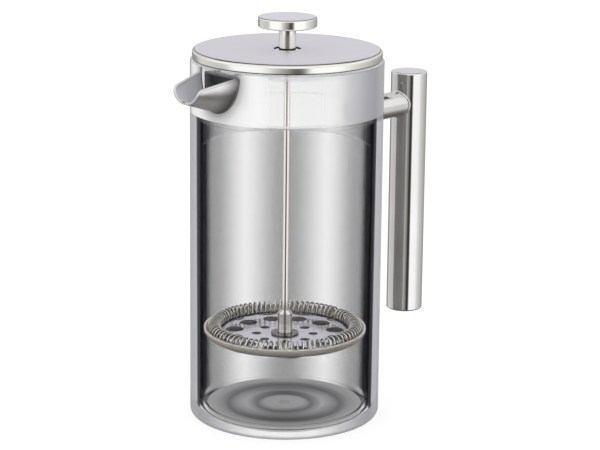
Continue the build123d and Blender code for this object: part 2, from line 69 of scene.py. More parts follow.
class Wire:
    """One output socket of a node tree, with arithmetic that adds Math nodes."""

    def __init__(self, bench: "Bench", socket: bpy.types.NodeSocket) -> None:
        """Keeps the socket and the bench that its tree is wired on."""
        self.bench = bench
        self.socket = socket

    def output(self, name: str) -> "Wire":
        """Another output of the same node, by name."""
        return Wire(self.bench, self.socket.node.outputs[name])

    def maths(self, operation: str, *others: Any) -> "Wire":
        """A Math node on this value and the others, in that order."""
        sockets = dict(enumerate((self, *others)))
        return self.bench.node("ShaderNodeMath", {"operation": operation}, sockets)

    def __add__(self, other: Any) -> "Wire":
        """This plus other."""
        return self.maths("ADD", other)

    __radd__ = __add__

    def __mul__(self, other: Any) -> "Wire":
        """This times other."""
        return self.maths("MULTIPLY", other)

    __rmul__ = __mul__

    def __sub__(self, other: Any) -> "Wire":
        """This less other."""
        return self.maths("SUBTRACT", other)

    def __rsub__(self, other: Any) -> "Wire":
        """Other less this."""
        return self.bench.node("ShaderNodeMath", {"operation": "SUBTRACT"}, {0: other, 1: self})

    def __truediv__(self, other: Any) -> "Wire":
        """This divided by other."""
        return self.maths("DIVIDE", other)

    def power(self, exponent: float) -> "Wire":
        """This raised to an exponent."""
        return self.maths("POWER", exponent)

    def cosine(self) -> "Wire":
        """The cosine of this angle in radians."""
        return self.maths("COSINE")

    def swing(self) -> "Wire":
        """The cosine of this angle in radians, brought to a range from 0 to 1."""
        return self.cosine() * 0.5 + 0.5

    def rise(self, low: float, high: float, start: float = 0.0, end: float = 1.0) -> "Wire":
        """A smooth step from start, at or below low, to end, at or above high."""
        return self.bench.node(
            "ShaderNodeMapRange",
            {"interpolation_type": "SMOOTHSTEP"},
            {"Value": self, "From Min": low, "From Max": high, "To Min": start, "To Max": end},
        )

    def between(self, low: float, high: float, start: float = 0.0, end: float = 1.0) -> "Wire":
        """A smooth step between two places in millimetres."""
        return self.rise(low * MM, high * MM, start, end)

    def step(self, place: float, half: float, start: float = 0.0, end: float = 1.0) -> "Wire":
        """A smooth step across a place, half its width to each side, both in millimetres."""
        return self.between(place - half, place + half, start, end)


class Bench:
    """Wires the nodes of one tree."""

    def __init__(self, tree: bpy.types.NodeTree) -> None:
        """Starts from an empty tree."""
        self.tree = tree
        tree.nodes.clear()

    def node(
        self,
        kind: str,
        settings: Mapping[str, Any] | None = None,
        sockets: Mapping[Any, Any] | None = None,
        out: int | str = 0,
    ) -> Wire:
        """Adds a node.

        Args:
            kind: the node's type, such as ShaderNodeMath.
            settings: properties that are set first; "stops" fills a colour ramp.
            sockets: a value or a Wire for each input, by name or place.
            out: the output that the returned Wire stands for.

        Returns:
            The wire from that output, or the first input of a node that has no output.
        """
        made = self.tree.nodes.new(kind)
        for key, value in (settings or {}).items():
            if key == "stops":
                self._fill_ramp(made.color_ramp, value)
            else:
                setattr(made, key, value)
        for key, value in (sockets or {}).items():
            if isinstance(value, Wire):
                self.tree.links.new(value.socket, made.inputs[key])
            else:
                made.inputs[key].default_value = value
        return Wire(self, made.outputs[out]) if len(made.outputs) else Wire(self, made.inputs[0])

    @staticmethod
    def _fill_ramp(ramp: bpy.types.ColorRamp, stops: Sequence[Stop]) -> None:
        """Sets a ramp's stops.

        Args:
            ramp: the ramp of a new node.
            stops: a place from 0 to 1 and a colour for each stop, in order.
        """
        while len(ramp.elements) < len(stops):
            ramp.elements.new(1.0)
        for element, (place, colour) in zip(ramp.elements, stops):
            element.position = place
            element.color = (*colour, 1.0)

    def place(self) -> Wire:
        """The point on the surface, in the object's own coordinates."""
        return self.node("ShaderNodeTexCoord", out="Object")

    def way(self) -> Wire:
        """The way that the surface faces, in the object's own coordinates."""
        return self.node("ShaderNodeTexCoord", out="Normal")

    def split(self, vector: Wire) -> tuple[Wire, Wire, Wire]:
        """The three parts of a vector."""
        parts = self.node("ShaderNodeSeparateXYZ", sockets={0: vector})
        return parts, parts.output("Y"), parts.output("Z")

    def radius(self, x: Wire, y: Wire) -> Wire:
        """How far a point lies from the vessel's axis, in metres."""
        return (x * x + y * y).maths("SQRT")

    def join(self, x: Any, y: Any, z: Any) -> Wire:
        """A vector from three values."""
        return self.node("ShaderNodeCombineXYZ", sockets={0: x, 1: y, 2: z})

    def mix(self, share: Any, first: Any, second: Any, blend: str = "MIX") -> Wire:
        """A colour between two, by share and blend type."""
        return self.node(
            "ShaderNodeMix",
            {"data_type": "RGBA", "blend_type": blend},
            {0: share, 6: _rgba(first), 7: _rgba(second)},
            out=2,
        )

    def noise(self, vector: Wire, scale: float, detail: float = 2.0) -> Wire:
        """Noise from 0 to 1 at that scale, in waves per metre of the vector."""
        return self.node(
            "ShaderNodeTexNoise", sockets={"Vector": vector, "Scale": scale, "Detail": detail}
        )

    def bump(self, height: Wire, distance: float) -> Wire:
        """A normal from a height that spans that distance in millimetres."""
        return self.node("ShaderNodeBump", sockets={"Height": height, "Distance": distance * MM})

    def ramp(self, value: Wire, stops: Sequence[Stop]) -> Wire:
        """A colour looked up along stops."""
        return self.node("ShaderNodeValToRGB", {"stops": stops}, {0: value})

    def level(self, value: Wire, stops: Levels) -> Wire:
        """A number looked up along stops."""
        return self.ramp(value, [(place, (high,) * 3) for place, high in stops]) * 1.0

    def facing(self) -> Wire:
        """How far the surface is turned away: 0 seen square on, 1 seen edge on."""
        return self.node("ShaderNodeLayerWeight", sockets={"Blend": 0.5}, out="Facing")

    def from_behind(self) -> Wire:
        """1 where a surface is seen from its inner side, as the second side of a film."""
        return self.node("ShaderNodeNewGeometry", out="Backfacing")

    def light_path(self, ray: str) -> Wire:
        """1 for that kind of ray, such as Is Shadow Ray."""
        return self.node("ShaderNodeLightPath", out=ray)

    def turn_from_front(self, x: Wire, y: Wire) -> Wire:
        """The angle of a point around the vessel, in radians, from the front of the photograph."""
        front = math.radians(FRONT_AZIMUTH - 90.0)
        return y.maths("ARCTAN2", x) - front

    def across_front(self, x: Wire, y: Wire) -> Wire:
        """How far a point lies to the right of the vessel's axis, seen from the front, in metres."""
        across = math.radians(FRONT_AZIMUTH)
        return x * math.cos(across) + y * math.sin(across)


def _rgba(colour: Any) -> Any:
    """A colour with its alpha added, or a wire as it is."""
    return colour if isinstance(colour, Wire) else (*colour, 1.0)


def new_material(name: str) -> tuple[bpy.types.Material, Bench]:
    """Starts a material.

    Args:
        name: the material's name.

    Returns:
        The empty material and the bench to wire it on.
    """
    material = bpy.data.materials.new(name)
    material.use_nodes = True
    return material, Bench(material.node_tree)


def close_material(bench: Bench, **sockets: Any) -> None:
    """Ends a material in a Principled BSDF.

    Args:
        bench: the bench of the material's tree.
        sockets: a value or a Wire for each input, underscores standing for spaces in its name.
    """
    named = {key.replace("_", " "): value for key, value in sockets.items()}
    surface = bench.node("ShaderNodeBsdfPrincipled", sockets=named)
    bench.node("ShaderNodeOutputMaterial", sockets={"Surface": surface})


class Grain(Enum):
    """The way a steel surface was finished."""

    TURNED = "rings around the vessel's axis"
    DRAWN = "lines along the height"
    BUFFED = "fine haze with no direction"


@dataclass(frozen=True)
class SteelFinish:
    """Stainless steel with its grain, haze and painted marks of light and shade.

    The grain is noise drawn out along one way: around the axis, along Z, or not at all. A polished
    rim starts at a radius, and a painted dark line, a painted reflection, runs around at another.
    Painted reflection streaks are dark lines along the height, evenly spread around the axis. A
    hollow colour is a pale satin on surfaces that face the plane y = 0. Painted shade lies inside a
    hole's radius, below a height, near a root at a radius, and on the sides of a coil's wire that
    face its neighbours.
    """

    name: str
    colour: Colour
    shade: Colour
    roughness: float
    grain: Grain
    grain_scale: float = 900.0
    grain_depth: float = 0.004
    ring_stretch: Span = (12.0, 0.1)
    drawn_stretch: Span = (8.0, 0.12)
    haze: float = 0.05
    smear_scale: float = 38.0
    smear_span: Span = (0.35, 0.72)
    smear_share: float = 0.6
    metallic: float = 1.0
    polished_from: float = 0.0
    polish: float = 0.1
    polished_colour: Colour = (0.88, 0.87, 0.83)
    polish_blur: float = 0.2
    # A painted dark line, a painted reflection of a dark gap, runs around at this radius
    painted_line_at: float = 0.0
    painted_line_half: float = 0.4
    painted_line_core: float = 0.4
    # Painted shade inside this radius: the dark inside of a hole
    hole_shade_radius: float = 0.0
    hole_shade_blur: float = 0.1
    # Painted reflection streaks: dark upright lines that stand in for reflections of the studio
    painted_reflection_streaks: int = 0
    reflection_streak_colour: Colour = (0.10, 0.08, 0.065)
    painted_streak_share: float = 0.85
    reflection_streak_span: Span = (0.05, 0.95)
    shaded_below: float = 0.0
    shaded_blur: float = 0.3
    shade_share: float = 0.9
    # Painted shade near a root: darker towards the radius where the part meets the body
    root_shade_at: float = 0.0
    root_shade_spread: float = 12.0
    root_shade_share: float = 0.85
    coiled: bool = False
    # Painted shade on the sides of the wire that face the next turns
    coil_shade_span: Span = (0.45, 0.95)
    coil_shade_share: float = 0.85
    coil_patches: float = 11.0
    coil_patch: Span = (0.40, 0.60)
    coil_patch_share: float = 0.3
    shade_colour: Colour = (0.035, 0.030, 0.026)
    hollow_colour: Colour | None = None
    hollow_span: Span = (-0.8, -0.1)
    hollow_metallic: float = 0.25

    def make(self) -> bpy.types.Material:
        """Builds the material.

        Returns:
            A material whose colour, roughness and normal follow the grain.
        """
        material, bench = new_material(self.name)
        spot = bench.place()
        x, y, _ = bench.split(spot)
        grain = bench.noise(self._grain_way(bench, spot), self.grain_scale, detail=3.0)
        patches = bench.noise(spot, self.smear_scale)
        smears = patches.rise(*self.smear_span) * self.smear_share
        tone = bench.mix(smears + grain * (1.0 - self.smear_share), self.shade, self.colour)
        rough = self.roughness + (patches - 0.5) * self.haze + (grain - 0.5) * self.haze
        if self.polished_from:
            rim = bench.radius(x, y).step(self.polished_from, self.polish_blur)
            rough = rough + (self.polish - rough) * rim
            tone = bench.mix(rim, tone, self.polished_colour)
        tone = self._marked(bench, spot, tone)
        if self.coiled:
            tone = self._coil_shaded(bench, spot, tone)
        metallic: Any = self.metallic
        if self.hollow_colour:
            _, way_y, _ = bench.split(bench.way())
            hollow = (way_y * y).between(*self.hollow_span, 1.0, 0.0)
            tone = bench.mix(hollow, tone, self.hollow_colour)
            metallic = hollow.rise(0.0, 1.0, self.metallic, self.hollow_metallic)
        close_material(
            bench,
            Base_Color=tone,
            Metallic=metallic,
            Roughness=rough,
            Normal=bench.bump(grain, self.grain_depth),
        )
        return material

    def _grain_way(self, bench: Bench, spot: Wire) -> Wire:
        """Draws the surface's points out along the grain.

        Args:
            bench: the bench of the material's tree.
            spot: the point on the surface.

        Returns:
            The vector that the grain's noise is taken at.
        """
        x, y, z = bench.split(spot)
        if self.grain is Grain.TURNED:
            across, along = self.ring_stretch
            return bench.join(bench.radius(x, y) * across, z * across, x * along)
        if self.grain is Grain.DRAWN:
            across, along = self.drawn_stretch
            return bench.join(x * across, y * across, z * along)
        return spot

    def _marked(self, bench: Bench, spot: Wire, tone: Wire) -> Wire:
        """Adds a painted dark line, painted shade in a hole, painted reflection streaks, and painted
        shade below a height and near a root.

        Args:
            bench: the bench of the material's tree.
            spot: the point on the surface.
            tone: the colour so far.

        Returns:
            The colour with its marks.
        """
        x, y, z = bench.split(spot)
        radius = bench.radius(x, y)
        # Painted dark line: a painted reflection of a dark gap on a bead or rounded edge
        if self.painted_line_at:
            off_painted_line = (radius - self.painted_line_at * MM).maths("ABSOLUTE")
            core = self.painted_line_core * self.painted_line_half
            painted_line = off_painted_line.between(core, self.painted_line_half, self.shade_share, 0.0)
            tone = bench.mix(painted_line, tone, self.shade_colour)
        # Painted shade inside a hole's radius, where the hole lies in shadow
        if self.hole_shade_radius:
            inside = radius.step(self.hole_shade_radius, self.hole_shade_blur, 1.0, 0.0)
            tone = bench.mix(inside, tone, self.shade_colour)
        # Painted reflection streaks: dark upright lines evenly spread around the axis, standing in for
        # reflections
        if self.painted_reflection_streaks:
            wave = (bench.turn_from_front(x, y) * self.painted_reflection_streaks).cosine()
            painted_streak = wave.rise(*self.reflection_streak_span) * self.painted_streak_share
            tone = bench.mix(painted_streak, tone, self.reflection_streak_colour)
        # Painted shade below a height: a shadow where the part sits under or inside another
        if self.shaded_below:
            low = z.step(self.shaded_below, self.shaded_blur, 1.0, 0.0)
            tone = bench.mix(low * self.shade_share, tone, self.shade_colour)
        # Painted shade near a root, as a shadow in the crevice where the part meets the body
        if self.root_shade_at:
            root_end = self.root_shade_at + self.root_shade_spread
            root = radius.between(self.root_shade_at, root_end, self.root_shade_share, 0.0)
            tone = bench.mix(root, tone, self.shade_colour)
        return tone

    def _coil_shaded(self, bench: Bench, spot: Wire, tone: Wire) -> Wire:
        """Adds painted shade between a coil's turns, and uneven dark patches around the coil.

        Args:
            bench: the bench of the material's tree.
            spot: the point on the surface.
            tone: the colour so far.

        Returns:
            The colour with its painted shade and patches.
        """
        x, y, _ = bench.split(spot)
        way_x, way_y, _ = bench.split(bench.way())
        # Painted shade where the wire faces its neighbours, as the turns shadow each other
        sideways = ((way_y * x - way_x * y) / bench.radius(x, y)).maths("ABSOLUTE")
        painted_turn_shade = sideways.rise(*self.coil_shade_span) * self.coil_shade_share
        tone = bench.mix(painted_turn_shade, tone, self.shade_colour)
        around = bench.turn_from_front(x, y) * self.coil_patches
        patches = bench.noise(bench.join(around, 0.0, 0.0), scale=1.0, detail=0.0)
        uneven = patches.rise(*self.coil_patch) * self.coil_patch_share
        return bench.mix(uneven, tone, self.shade_colour)


@dataclass(frozen=True)
class ClearShellFinish:
    """Clear outer wall with a satin band above the shoulder and a satin foot.

    Only the outer skin and the underside are coated. Seen from outside, band and foot are a film that
    greys and closes where the wall turns away; the grey is painted shade standing in for the band's
    reflections. The band is thin where it is seen square on. Seen from inside, it is pale and mostly
    closed. It is also closed around the spout's root, with painted shade there. Between band and foot
    the wall is clear, with a painted dark line and a lavender-grey strip at its edges, and a painted
    dark outline where it is seen edge on. Steel beside the vessel mirrors all of it as a grey wall.
    """

    name: str
    band_start: float
    wall_middle: float
    edge_blur: float = 0.2
    underside: Span = (1.2, 1.6)
    foot_end: float = 5.0
    foot_blur: float = 0.5
    foot_climb: float = 7.5
    foot_opacity: float = 0.8
    clear_opacity: float = 0.02
    most_opacity: float = 0.97
    far_opacity: float = 0.7
    far_drop: float = 0.6
    far_colour: Colour = (0.91, 0.91, 0.92)
    far_strip: float = 0.6
    mirrored_opacity: float = 0.95
    mirrored_colour: Colour = (0.20, 0.195, 0.19)
    band_film: Levels = (
        (0.0, 0.10), (0.06, 0.14), (0.116, 0.34), (0.20, 0.68), (0.246, 0.84), (0.306, 0.93),
        (0.38, 0.96), (0.585, 0.97),
    )
    # Painted shade of band and foot, by how far the wall turns away
    painted_band_shade: Levels = (
        (0.0, 0.98), (0.116, 0.86), (0.152, 0.76), (0.20, 0.66), (0.246, 0.55), (0.306, 0.49),
        (0.38, 0.43), (0.47, 0.36), (0.585, 0.32), (0.76, 0.40),
    )
    streak_stretch: Span = (9.0, 0.3)
    streak_scale: float = 9.0
    painted_streak_share: float = 0.06
    lavender: Colour = (0.985, 0.98, 1.05)
    lavender_turn: Span = (0.1, 0.5)
    strip_film: Levels = (
        (0.0, 0.0), (0.565, 0.0), (0.59, 0.94), (0.635, 0.94), (0.66, 0.60), (0.70, 0.66), (1.0, 0.80),
    )
    # Painted edge shade: a dark line where the clear wall turns away, before its lavender-grey strip
    strip_shade: Colour = (0.008, 0.008, 0.012)
    strip_colour: Colour = (0.335, 0.340, 0.380)
    strip_turn: Span = (0.630, 0.655)
    # Painted edge shade: a dark outline where the wall is seen edge on
    outline_shade_colour: Colour = (0.07, 0.07, 0.08)
    outline_shade_turn: Span = (0.90, 0.985)
    root_inner: float = 26.0
    root_outer: float = 40.0
    root_opacity: float = 0.92
    root_half_width: float = 14.5
    root_top: float = 197.0
    root_depth: float = 21.0
    root_reach: float = 2.0
    root_tone: Levels = (
        (0.0, 0.04), (0.45, 0.05), (0.49, 0.28), (0.56, 0.55), (0.66, 0.80), (0.75, 0.88), (1.0, 0.92),
    )
    gloss: float = 0.15
    clear_roughness: float = 0.05
    satin_roughness: float = 0.21

    def make(self) -> bpy.types.Material:
        """Builds the material.

        Returns:
            A material that is see-through below the band and satin in it.
        """
        material, bench = new_material(self.name)
        x, y, z = bench.split(bench.place())
        far = bench.from_behind()
        facing = bench.facing()
        skin = bench.radius(x, y).step(self.wall_middle, self.edge_blur)
        outside = skin.maths("MAXIMUM", z.between(*self.underside, 1.0, 0.0))
        band = (z + far * (self.far_drop * MM)).step(self.band_start, self.edge_blur)
        foot_height = z - facing * (self.foot_climb * MM)
        foot = foot_height.step(self.foot_end, self.foot_blur, 1.0, 0.0)
        coated = band.maths("MAXIMUM", foot)
        # Painted edge shade: a dark line and outline where the wall turns away, a lavender-grey strip
        # between
        strip_shade_tone = bench.mix(facing.rise(*self.strip_turn), self.strip_shade, self.strip_colour)
        tone = bench.mix(coated, strip_shade_tone, self._painted_satin_shade(bench, facing))
        tone = bench.mix(facing.rise(*self.outline_shade_turn), tone, self.outline_shade_colour)
        root_span = math.radians(self.root_inner), math.radians(self.root_outer)
        from_spout = y.maths("ABSOLUTE").maths("ARCTAN2", 0.0 - x)
        root = from_spout.rise(*root_span, self.root_opacity, 0.0) * band
        tone = bench.mix(root, tone, self._root_shade(bench, y, z))
        tone = bench.mix(far * band, tone, self.far_colour)
        film = bench.level(facing, self.band_film).maths("MAXIMUM", root)
        film = film.maths("MAXIMUM", foot * self.foot_opacity)
        strip = bench.level(facing, self.strip_film)
        near_side = strip + (film - strip) * coated
        far_side = (strip * self.far_strip).maths("MAXIMUM", band * self.far_opacity)
        lit = bench.light_path("Is Diffuse Ray").maths("MAXIMUM", bench.light_path("Is Shadow Ray"))
        coat = (near_side + (far_side - near_side) * far) * outside * (1.0 - lit)
        mirrored = bench.light_path("Is Glossy Ray") * (1.0 - far) * outside
        opacity = coat.maths("MAXIMUM", mirrored * self.mirrored_opacity) + self.clear_opacity
        close_material(
            bench,
            Base_Color=bench.mix(mirrored, tone, self.mirrored_colour),
            Roughness=band * (self.satin_roughness - self.clear_roughness) + self.clear_roughness,
            Specular_IOR_Level=self.gloss,
            Alpha=opacity.maths("MINIMUM", self.most_opacity),
        )
        return material

    def _painted_satin_shade(self, bench: Bench, facing: Wire) -> Wire:
        """Works out the painted shade of band and foot.

        Args:
            bench: the bench of the material's tree.
            facing: how far the wall is turned away.

        Returns:
            A painted grey that darkens where the wall turns away, with faint painted streaks, lavender
            where it turns away.
        """
        x, y, z = bench.split(bench.place())
        across, along = self.streak_stretch
        drawn = bench.join(x * across, y * across, z * along)
        painted_streak = bench.noise(drawn, self.streak_scale) - 0.5
        # Painted shade: the grey falls as the wall turns away, standing in for the band's reflections
        grey = bench.level(facing + painted_streak * self.painted_streak_share, self.painted_band_shade)
        tint = bench.mix(facing.rise(*self.lavender_turn), (1.0, 1.0, 1.0), self.lavender)
        return bench.mix(1.0, grey_colour(bench, grey), tint, "MULTIPLY")

    def _root_shade(self, bench: Bench, y: Wire, z: Wire) -> Wire:
        """Works out the shade behind the spout, dark inside its root and pale around it.

        Args:
            bench: the bench of the material's tree.
            y: the point's place across the spout.
            z: the point's height.

        Returns:
            A grey looked up along the distance from the root's middle, out to its reach in root sizes.
        """
        wide = y / (self.root_half_width * MM)
        high = (z - self.root_top * MM) / (self.root_depth * MM)
        from_root = (wide * wide + high * high).maths("SQRT")
        return grey_colour(bench, bench.level(from_root / self.root_reach, self.root_tone))


def grey_colour(bench: Bench, level: Wire) -> Wire:
    """A grey of that level."""
    return bench.node("ShaderNodeCombineColor", sockets={0: level, 1: level, 2: level})


@dataclass(frozen=True)
class SmokeLinerFinish:
    """Smoke-grey liner with a half-mirror film inside and painted dark edges.

    The film shows from the cup's side only. It swings six times around the cup between dense and
    thin, painted bands that stand in for reflected light, closes and turns near black where it turns
    away, as painted edge shade, and turns plain pale below the shoulder. The outer skin has painted
    dark edge shade at its very edges, and its near half carries smoke under the shoulder, deeper
    towards the edges. Both edges thin out at the foot. The shoulder's top is pale.
    """

    name: str
    wall_middle: float
    shoulder: float
    film_top: float
    flange: float = 3.0
    inner_radius: float = 45.5
    edge_blur: float = 0.2
    film_blur: float = 1.0
    shoulder_blur: float = 0.4
    swings: float = 6.0
    swing_power: float = 0.75
    smoke_opacity: float = 0.66
    clear_opacity: float = 0.15
    pale_opacity: float = 0.7
    least_opacity: float = 0.01
    most_opacity: float = 0.98
    corner_line: float = 171.2
    corner_depth: float = 21.0
    corner_drop: float = 5.0
    corner_power: float = 3.0
    rim_radius: float = 49.5
    rim_overlap: float = 169.05
    rim_blur: float = 0.1
    top_span: Span = (-0.3, -0.1)
    foot_low: float = 2.0
    foot_high: float = 9.0
    foot_edge: float = 0.2
    # Opacities by how far the film turns away; inner and outer ones close into painted edge shade
    inner_edge: Levels = (
        (0.0, 0.0), (0.475, 0.0), (0.535, 0.10), (0.585, 0.30), (0.65, 0.72), (0.73, 0.95), (1.0, 0.98),
    )
    corner_edge: Levels = (
        (0.0, 0.0), (0.42, 0.0), (0.465, 0.10), (0.51, 0.30), (0.57, 0.72), (0.63, 0.95), (1.0, 0.98),
    )
    outer_edge: Levels = ((0.0, 0.0), (0.63, 0.0), (0.70, 0.95), (1.0, 0.98))
    smoke_colour: Colour = (0.030, 0.030, 0.036)
    edge_shade_colour: Colour = (0.004, 0.004, 0.006)
    pale_colour: Colour = (0.91, 0.91, 0.92)
    cloud_scale: float = 25.0
    cloud_roughness: float = 0.06
    least_roughness: float = 0.05

    def make(self) -> bpy.types.Material:
        """Builds the material.

        Returns:
            A see-through material whose opacity and colour carry the bands.
        """
        material, bench = new_material(self.name)
        spot = bench.place()
        x, y, z = bench.split(spot)
        radius = bench.radius(x, y)
        outer_skin = radius.step(self.wall_middle, self.edge_blur)
        inner_skin = 1.0 - outer_skin
        behind = bench.from_behind()
        seen = bench.light_path("Is Camera Ray")
        facing = bench.facing()
        # Painted bands of dense and thin smoke around the cup, standing in for reflected light
        painted_bands = self._painted_bands(bench, x, y)
        upright = z.between(self.foot_low, self.foot_high, self.foot_edge, 1.0)
        closing = bench.level(facing, self.inner_edge) * upright
        pale = z.step(self.film_top, self.film_blur)
        band_start = self.shoulder + self.flange
        under_band = z.between(band_start - self.shoulder_blur, band_start, 1.0, 0.0)
        film = painted_bands + (1.0 - painted_bands) * closing
        film = film + (self.pale_opacity - film) * pale
        film = film * inner_skin * (1.0 - behind) * under_band
        bend = facing.power(self.corner_power) * (self.corner_drop * MM)
        corner_height = z + facing * (self.corner_depth * MM) + bend
        corner = corner_height.step(self.corner_line, self.film_blur)
        edge = bench.level(facing, self.outer_edge) * upright
        smoked = painted_bands + (1.0 - painted_bands) * bench.level(facing, self.corner_edge)
        rim = radius.step(self.rim_radius, self.edge_blur)
        rim = rim * z.step(self.rim_overlap, self.rim_blur, 1.0, 0.0)
        near_film = (corner * smoked).maths("MAXIMUM", edge)
        near_film = near_film * outer_skin * (1.0 - behind) * under_band * (1.0 - rim)
        below = z.between(self.shoulder - self.shoulder_blur, self.shoulder, 1.0, 0.0)
        far_edge = edge * outer_skin * behind * below
        top_low, top_high = self.top_span
        top = z.between(band_start + top_low, band_start + top_high)
        opacity = (film + near_film + far_edge + top * self.pale_opacity) * seen
        # Painted edge shade: the closing film and the outer skin's edges turn near black
        dark = (closing * inner_skin).maths("MAXIMUM", edge * outer_skin)
        tone = bench.mix(pale * inner_skin * (1.0 - closing), self.smoke_colour, self.pale_colour)
        tone = bench.mix(dark, tone, self.edge_shade_colour)
        cloud = bench.noise(spot, self.cloud_scale, detail=1.0)
        close_material(
            bench,
            Base_Color=bench.mix(top, tone, self.pale_colour),
            Roughness=cloud * self.cloud_roughness + self.least_roughness,
            Specular_IOR_Level=0.0,
            Alpha=(opacity + self.least_opacity).maths("MINIMUM", self.most_opacity),
        )
        return material

    def _painted_bands(self, bench: Bench, x: Wire, y: Wire) -> Wire:
        """Works out how dense the film is around the cup, in painted bands that stand in for reflected
        light.

        Args:
            bench: the bench of the material's tree.
            x: the point's place along X.
            y: the point's place along Y.

        Returns:
            An opacity that swings between smoke and clear.
        """
        turn = (bench.across_front(x, y) / (self.inner_radius * MM)).maths("ARCSINE")
        smoke = (turn * self.swings).swing().power(self.swing_power)
        return self.clear_opacity + smoke * (self.smoke_opacity - self.clear_opacity)


@dataclass(frozen=True)
class PressedFloorFinish:
    """Spun steel disc with soft dark rings of painted shade where the floor is pressed in.

    Its tone is looked up along the share of the radius. Between the rings a painted sheen makes it
    brighter to the two sides than to front and back, as spun metal looks, and fine turning marks follow
    it round.
    """

    name: str
    radius: float
    painted_side_sheen_tones: Levels = (
        (0.0, 0.58), (0.05, 0.46), (0.10, 0.62), (0.25, 0.58), (0.35, 0.22), (0.43, 0.44), (0.50, 0.64),
        (0.60, 0.46), (0.72, 0.17), (0.81, 0.36), (0.90, 0.46), (1.0, 0.48),
    )
    painted_front_shade_tones: Levels = (
        (0.0, 0.58), (0.05, 0.46), (0.10, 0.62), (0.25, 0.54), (0.35, 0.12), (0.43, 0.20), (0.50, 0.27),
        (0.60, 0.18), (0.72, 0.10), (0.81, 0.30), (0.90, 0.46), (1.0, 0.48),
    )
    line_scale: float = 2400.0
    line_drift: float = 0.02
    line_span: Span = (0.3, 0.7)
    line_share: float = 0.12
    line_colour: Colour = (0.10, 0.10, 0.11)
    line_depth: float = 0.02
    line_roughness: float = 0.12
    roughness: float = 0.40
    metallic: float = 0.15

    def make(self) -> bpy.types.Material:
        """Builds the material.

        Returns:
            An opaque satin material with concentric rings.
        """
        material, bench = new_material(self.name)
        x, y, _ = bench.split(bench.place())
        radius = bench.radius(x, y)
        lines = bench.noise(bench.join(radius, 0.0, x * self.line_drift), self.line_scale)
        share = radius / (self.radius * MM)
        # Painted sheen: brighter towards the two sides, darker to front and back
        sheen_side = 1.0 - (bench.turn_from_front(x, y) * 2.0).swing()
        front = grey_colour(bench, bench.level(share, self.painted_front_shade_tones))
        tone = bench.mix(sheen_side, front, grey_colour(bench, bench.level(share, self.painted_side_sheen_tones)))
        tone = bench.mix(lines.rise(*self.line_span) * self.line_share, tone, self.line_colour)
        close_material(
            bench,
            Base_Color=tone,
            Metallic=self.metallic,
            Roughness=lines * self.line_roughness + self.roughness,
            Normal=bench.bump(lines, self.line_depth),
        )
        return material


@dataclass(frozen=True)
class SoftFinish:
    """Moulded rubber or plastic: an even colour with fine speckle and a matt skin.

    Its opacity may hold only from a radius outwards, with a closed middle.
    """

    name: str
    colour: Colour
    shade: Colour
    roughness: float
    opacity: float = 1.0
    clear_from: float = 0.0
    clear_blend: float = 3.0
    gloss: float = 0.5
    speckle_scale: float = 1500.0
    speckle_roughness: float = 0.15
    speckle_depth: float = 0.03
    cloud_scale: float = 60.0
    cloud_span: Span = (0.3, 0.7)

    def make(self) -> bpy.types.Material:
        """Builds the material.

        Returns:
            A matt material, see-through where its opacity is below 1.
        """
        material, bench = new_material(self.name)
        spot = bench.place()
        speckle = bench.noise(spot, self.speckle_scale)
        cloud = bench.noise(spot, self.cloud_scale)
        alpha: Any = self.opacity
        if self.clear_from:
            x, y, _ = bench.split(spot)
            closed_to = self.clear_from - self.clear_blend
            alpha = bench.radius(x, y).between(closed_to, self.clear_from, 1.0, self.opacity)
        close_material(
            bench,
            Base_Color=bench.mix(cloud.rise(*self.cloud_span), self.shade, self.colour),
            Roughness=speckle * self.speckle_roughness + self.roughness,
            Specular_IOR_Level=self.gloss,
            Alpha=alpha,
            Normal=bench.bump(speckle, self.speckle_depth),
        )
        return material


@dataclass(frozen=True)
class WovenFinish:
    """Fine woven wire: two sets of crossing wires on the piece's UV map, given in wire spacings.

    Dirt lies on it in patches, and painted shade below a height.
    """

    name: str
    wire: Colour
    gap: Colour
    wire_span: Span = (0.35, 0.9)
    wire_depth: float = 0.12
    dirt_colour: Colour = (0.30, 0.26, 0.22)
    dirt_scale: float = 140.0
    dirt_span: Span = (0.4, 0.7)
    dirt_share: float = 0.3
    # Painted shade below a height, in the crease where the sieve's edge meets the screen
    painted_shade_below: float = 0.0
    crease_shade_colour: Colour = (0.03, 0.027, 0.025)
    crease_shade_blur: float = 0.8
    shade_share: float = 0.8
    metallic: float = 0.85
    gap_roughness: float = 0.5
    wire_roughness: float = 0.38

    def make(self) -> bpy.types.Material:
        """Builds the material.

        Returns:
            A steel material with wires that stand out from dark gaps.
        """
        material, bench = new_material(self.name)
        spot = bench.place()
        u, v, _ = bench.split(bench.node("ShaderNodeTexCoord", out="UV"))
        wires = (u * math.tau).swing().maths("MAXIMUM", (v * math.tau).swing())
        lit = wires.rise(*self.wire_span)
        dirt = bench.noise(spot, self.dirt_scale, detail=3.0).rise(*self.dirt_span)
        tone = bench.mix(lit, self.gap, self.wire)
        tone = bench.mix(dirt * self.dirt_share, tone, self.dirt_colour)
        # Painted shade below a height, in the crease at the sieve's foot
        if self.painted_shade_below:
            _, _, z = bench.split(spot)
            low = z.step(self.painted_shade_below, self.crease_shade_blur, 1.0, 0.0)
            tone = bench.mix(low * self.shade_share, tone, self.crease_shade_colour)
        close_material(
            bench,
            Base_Color=tone,
            Metallic=self.metallic,
            Roughness=self.gap_roughness - lit * (self.gap_roughness - self.wire_roughness),
            Normal=bench.bump(wires, self.wire_depth),
        )
        return material


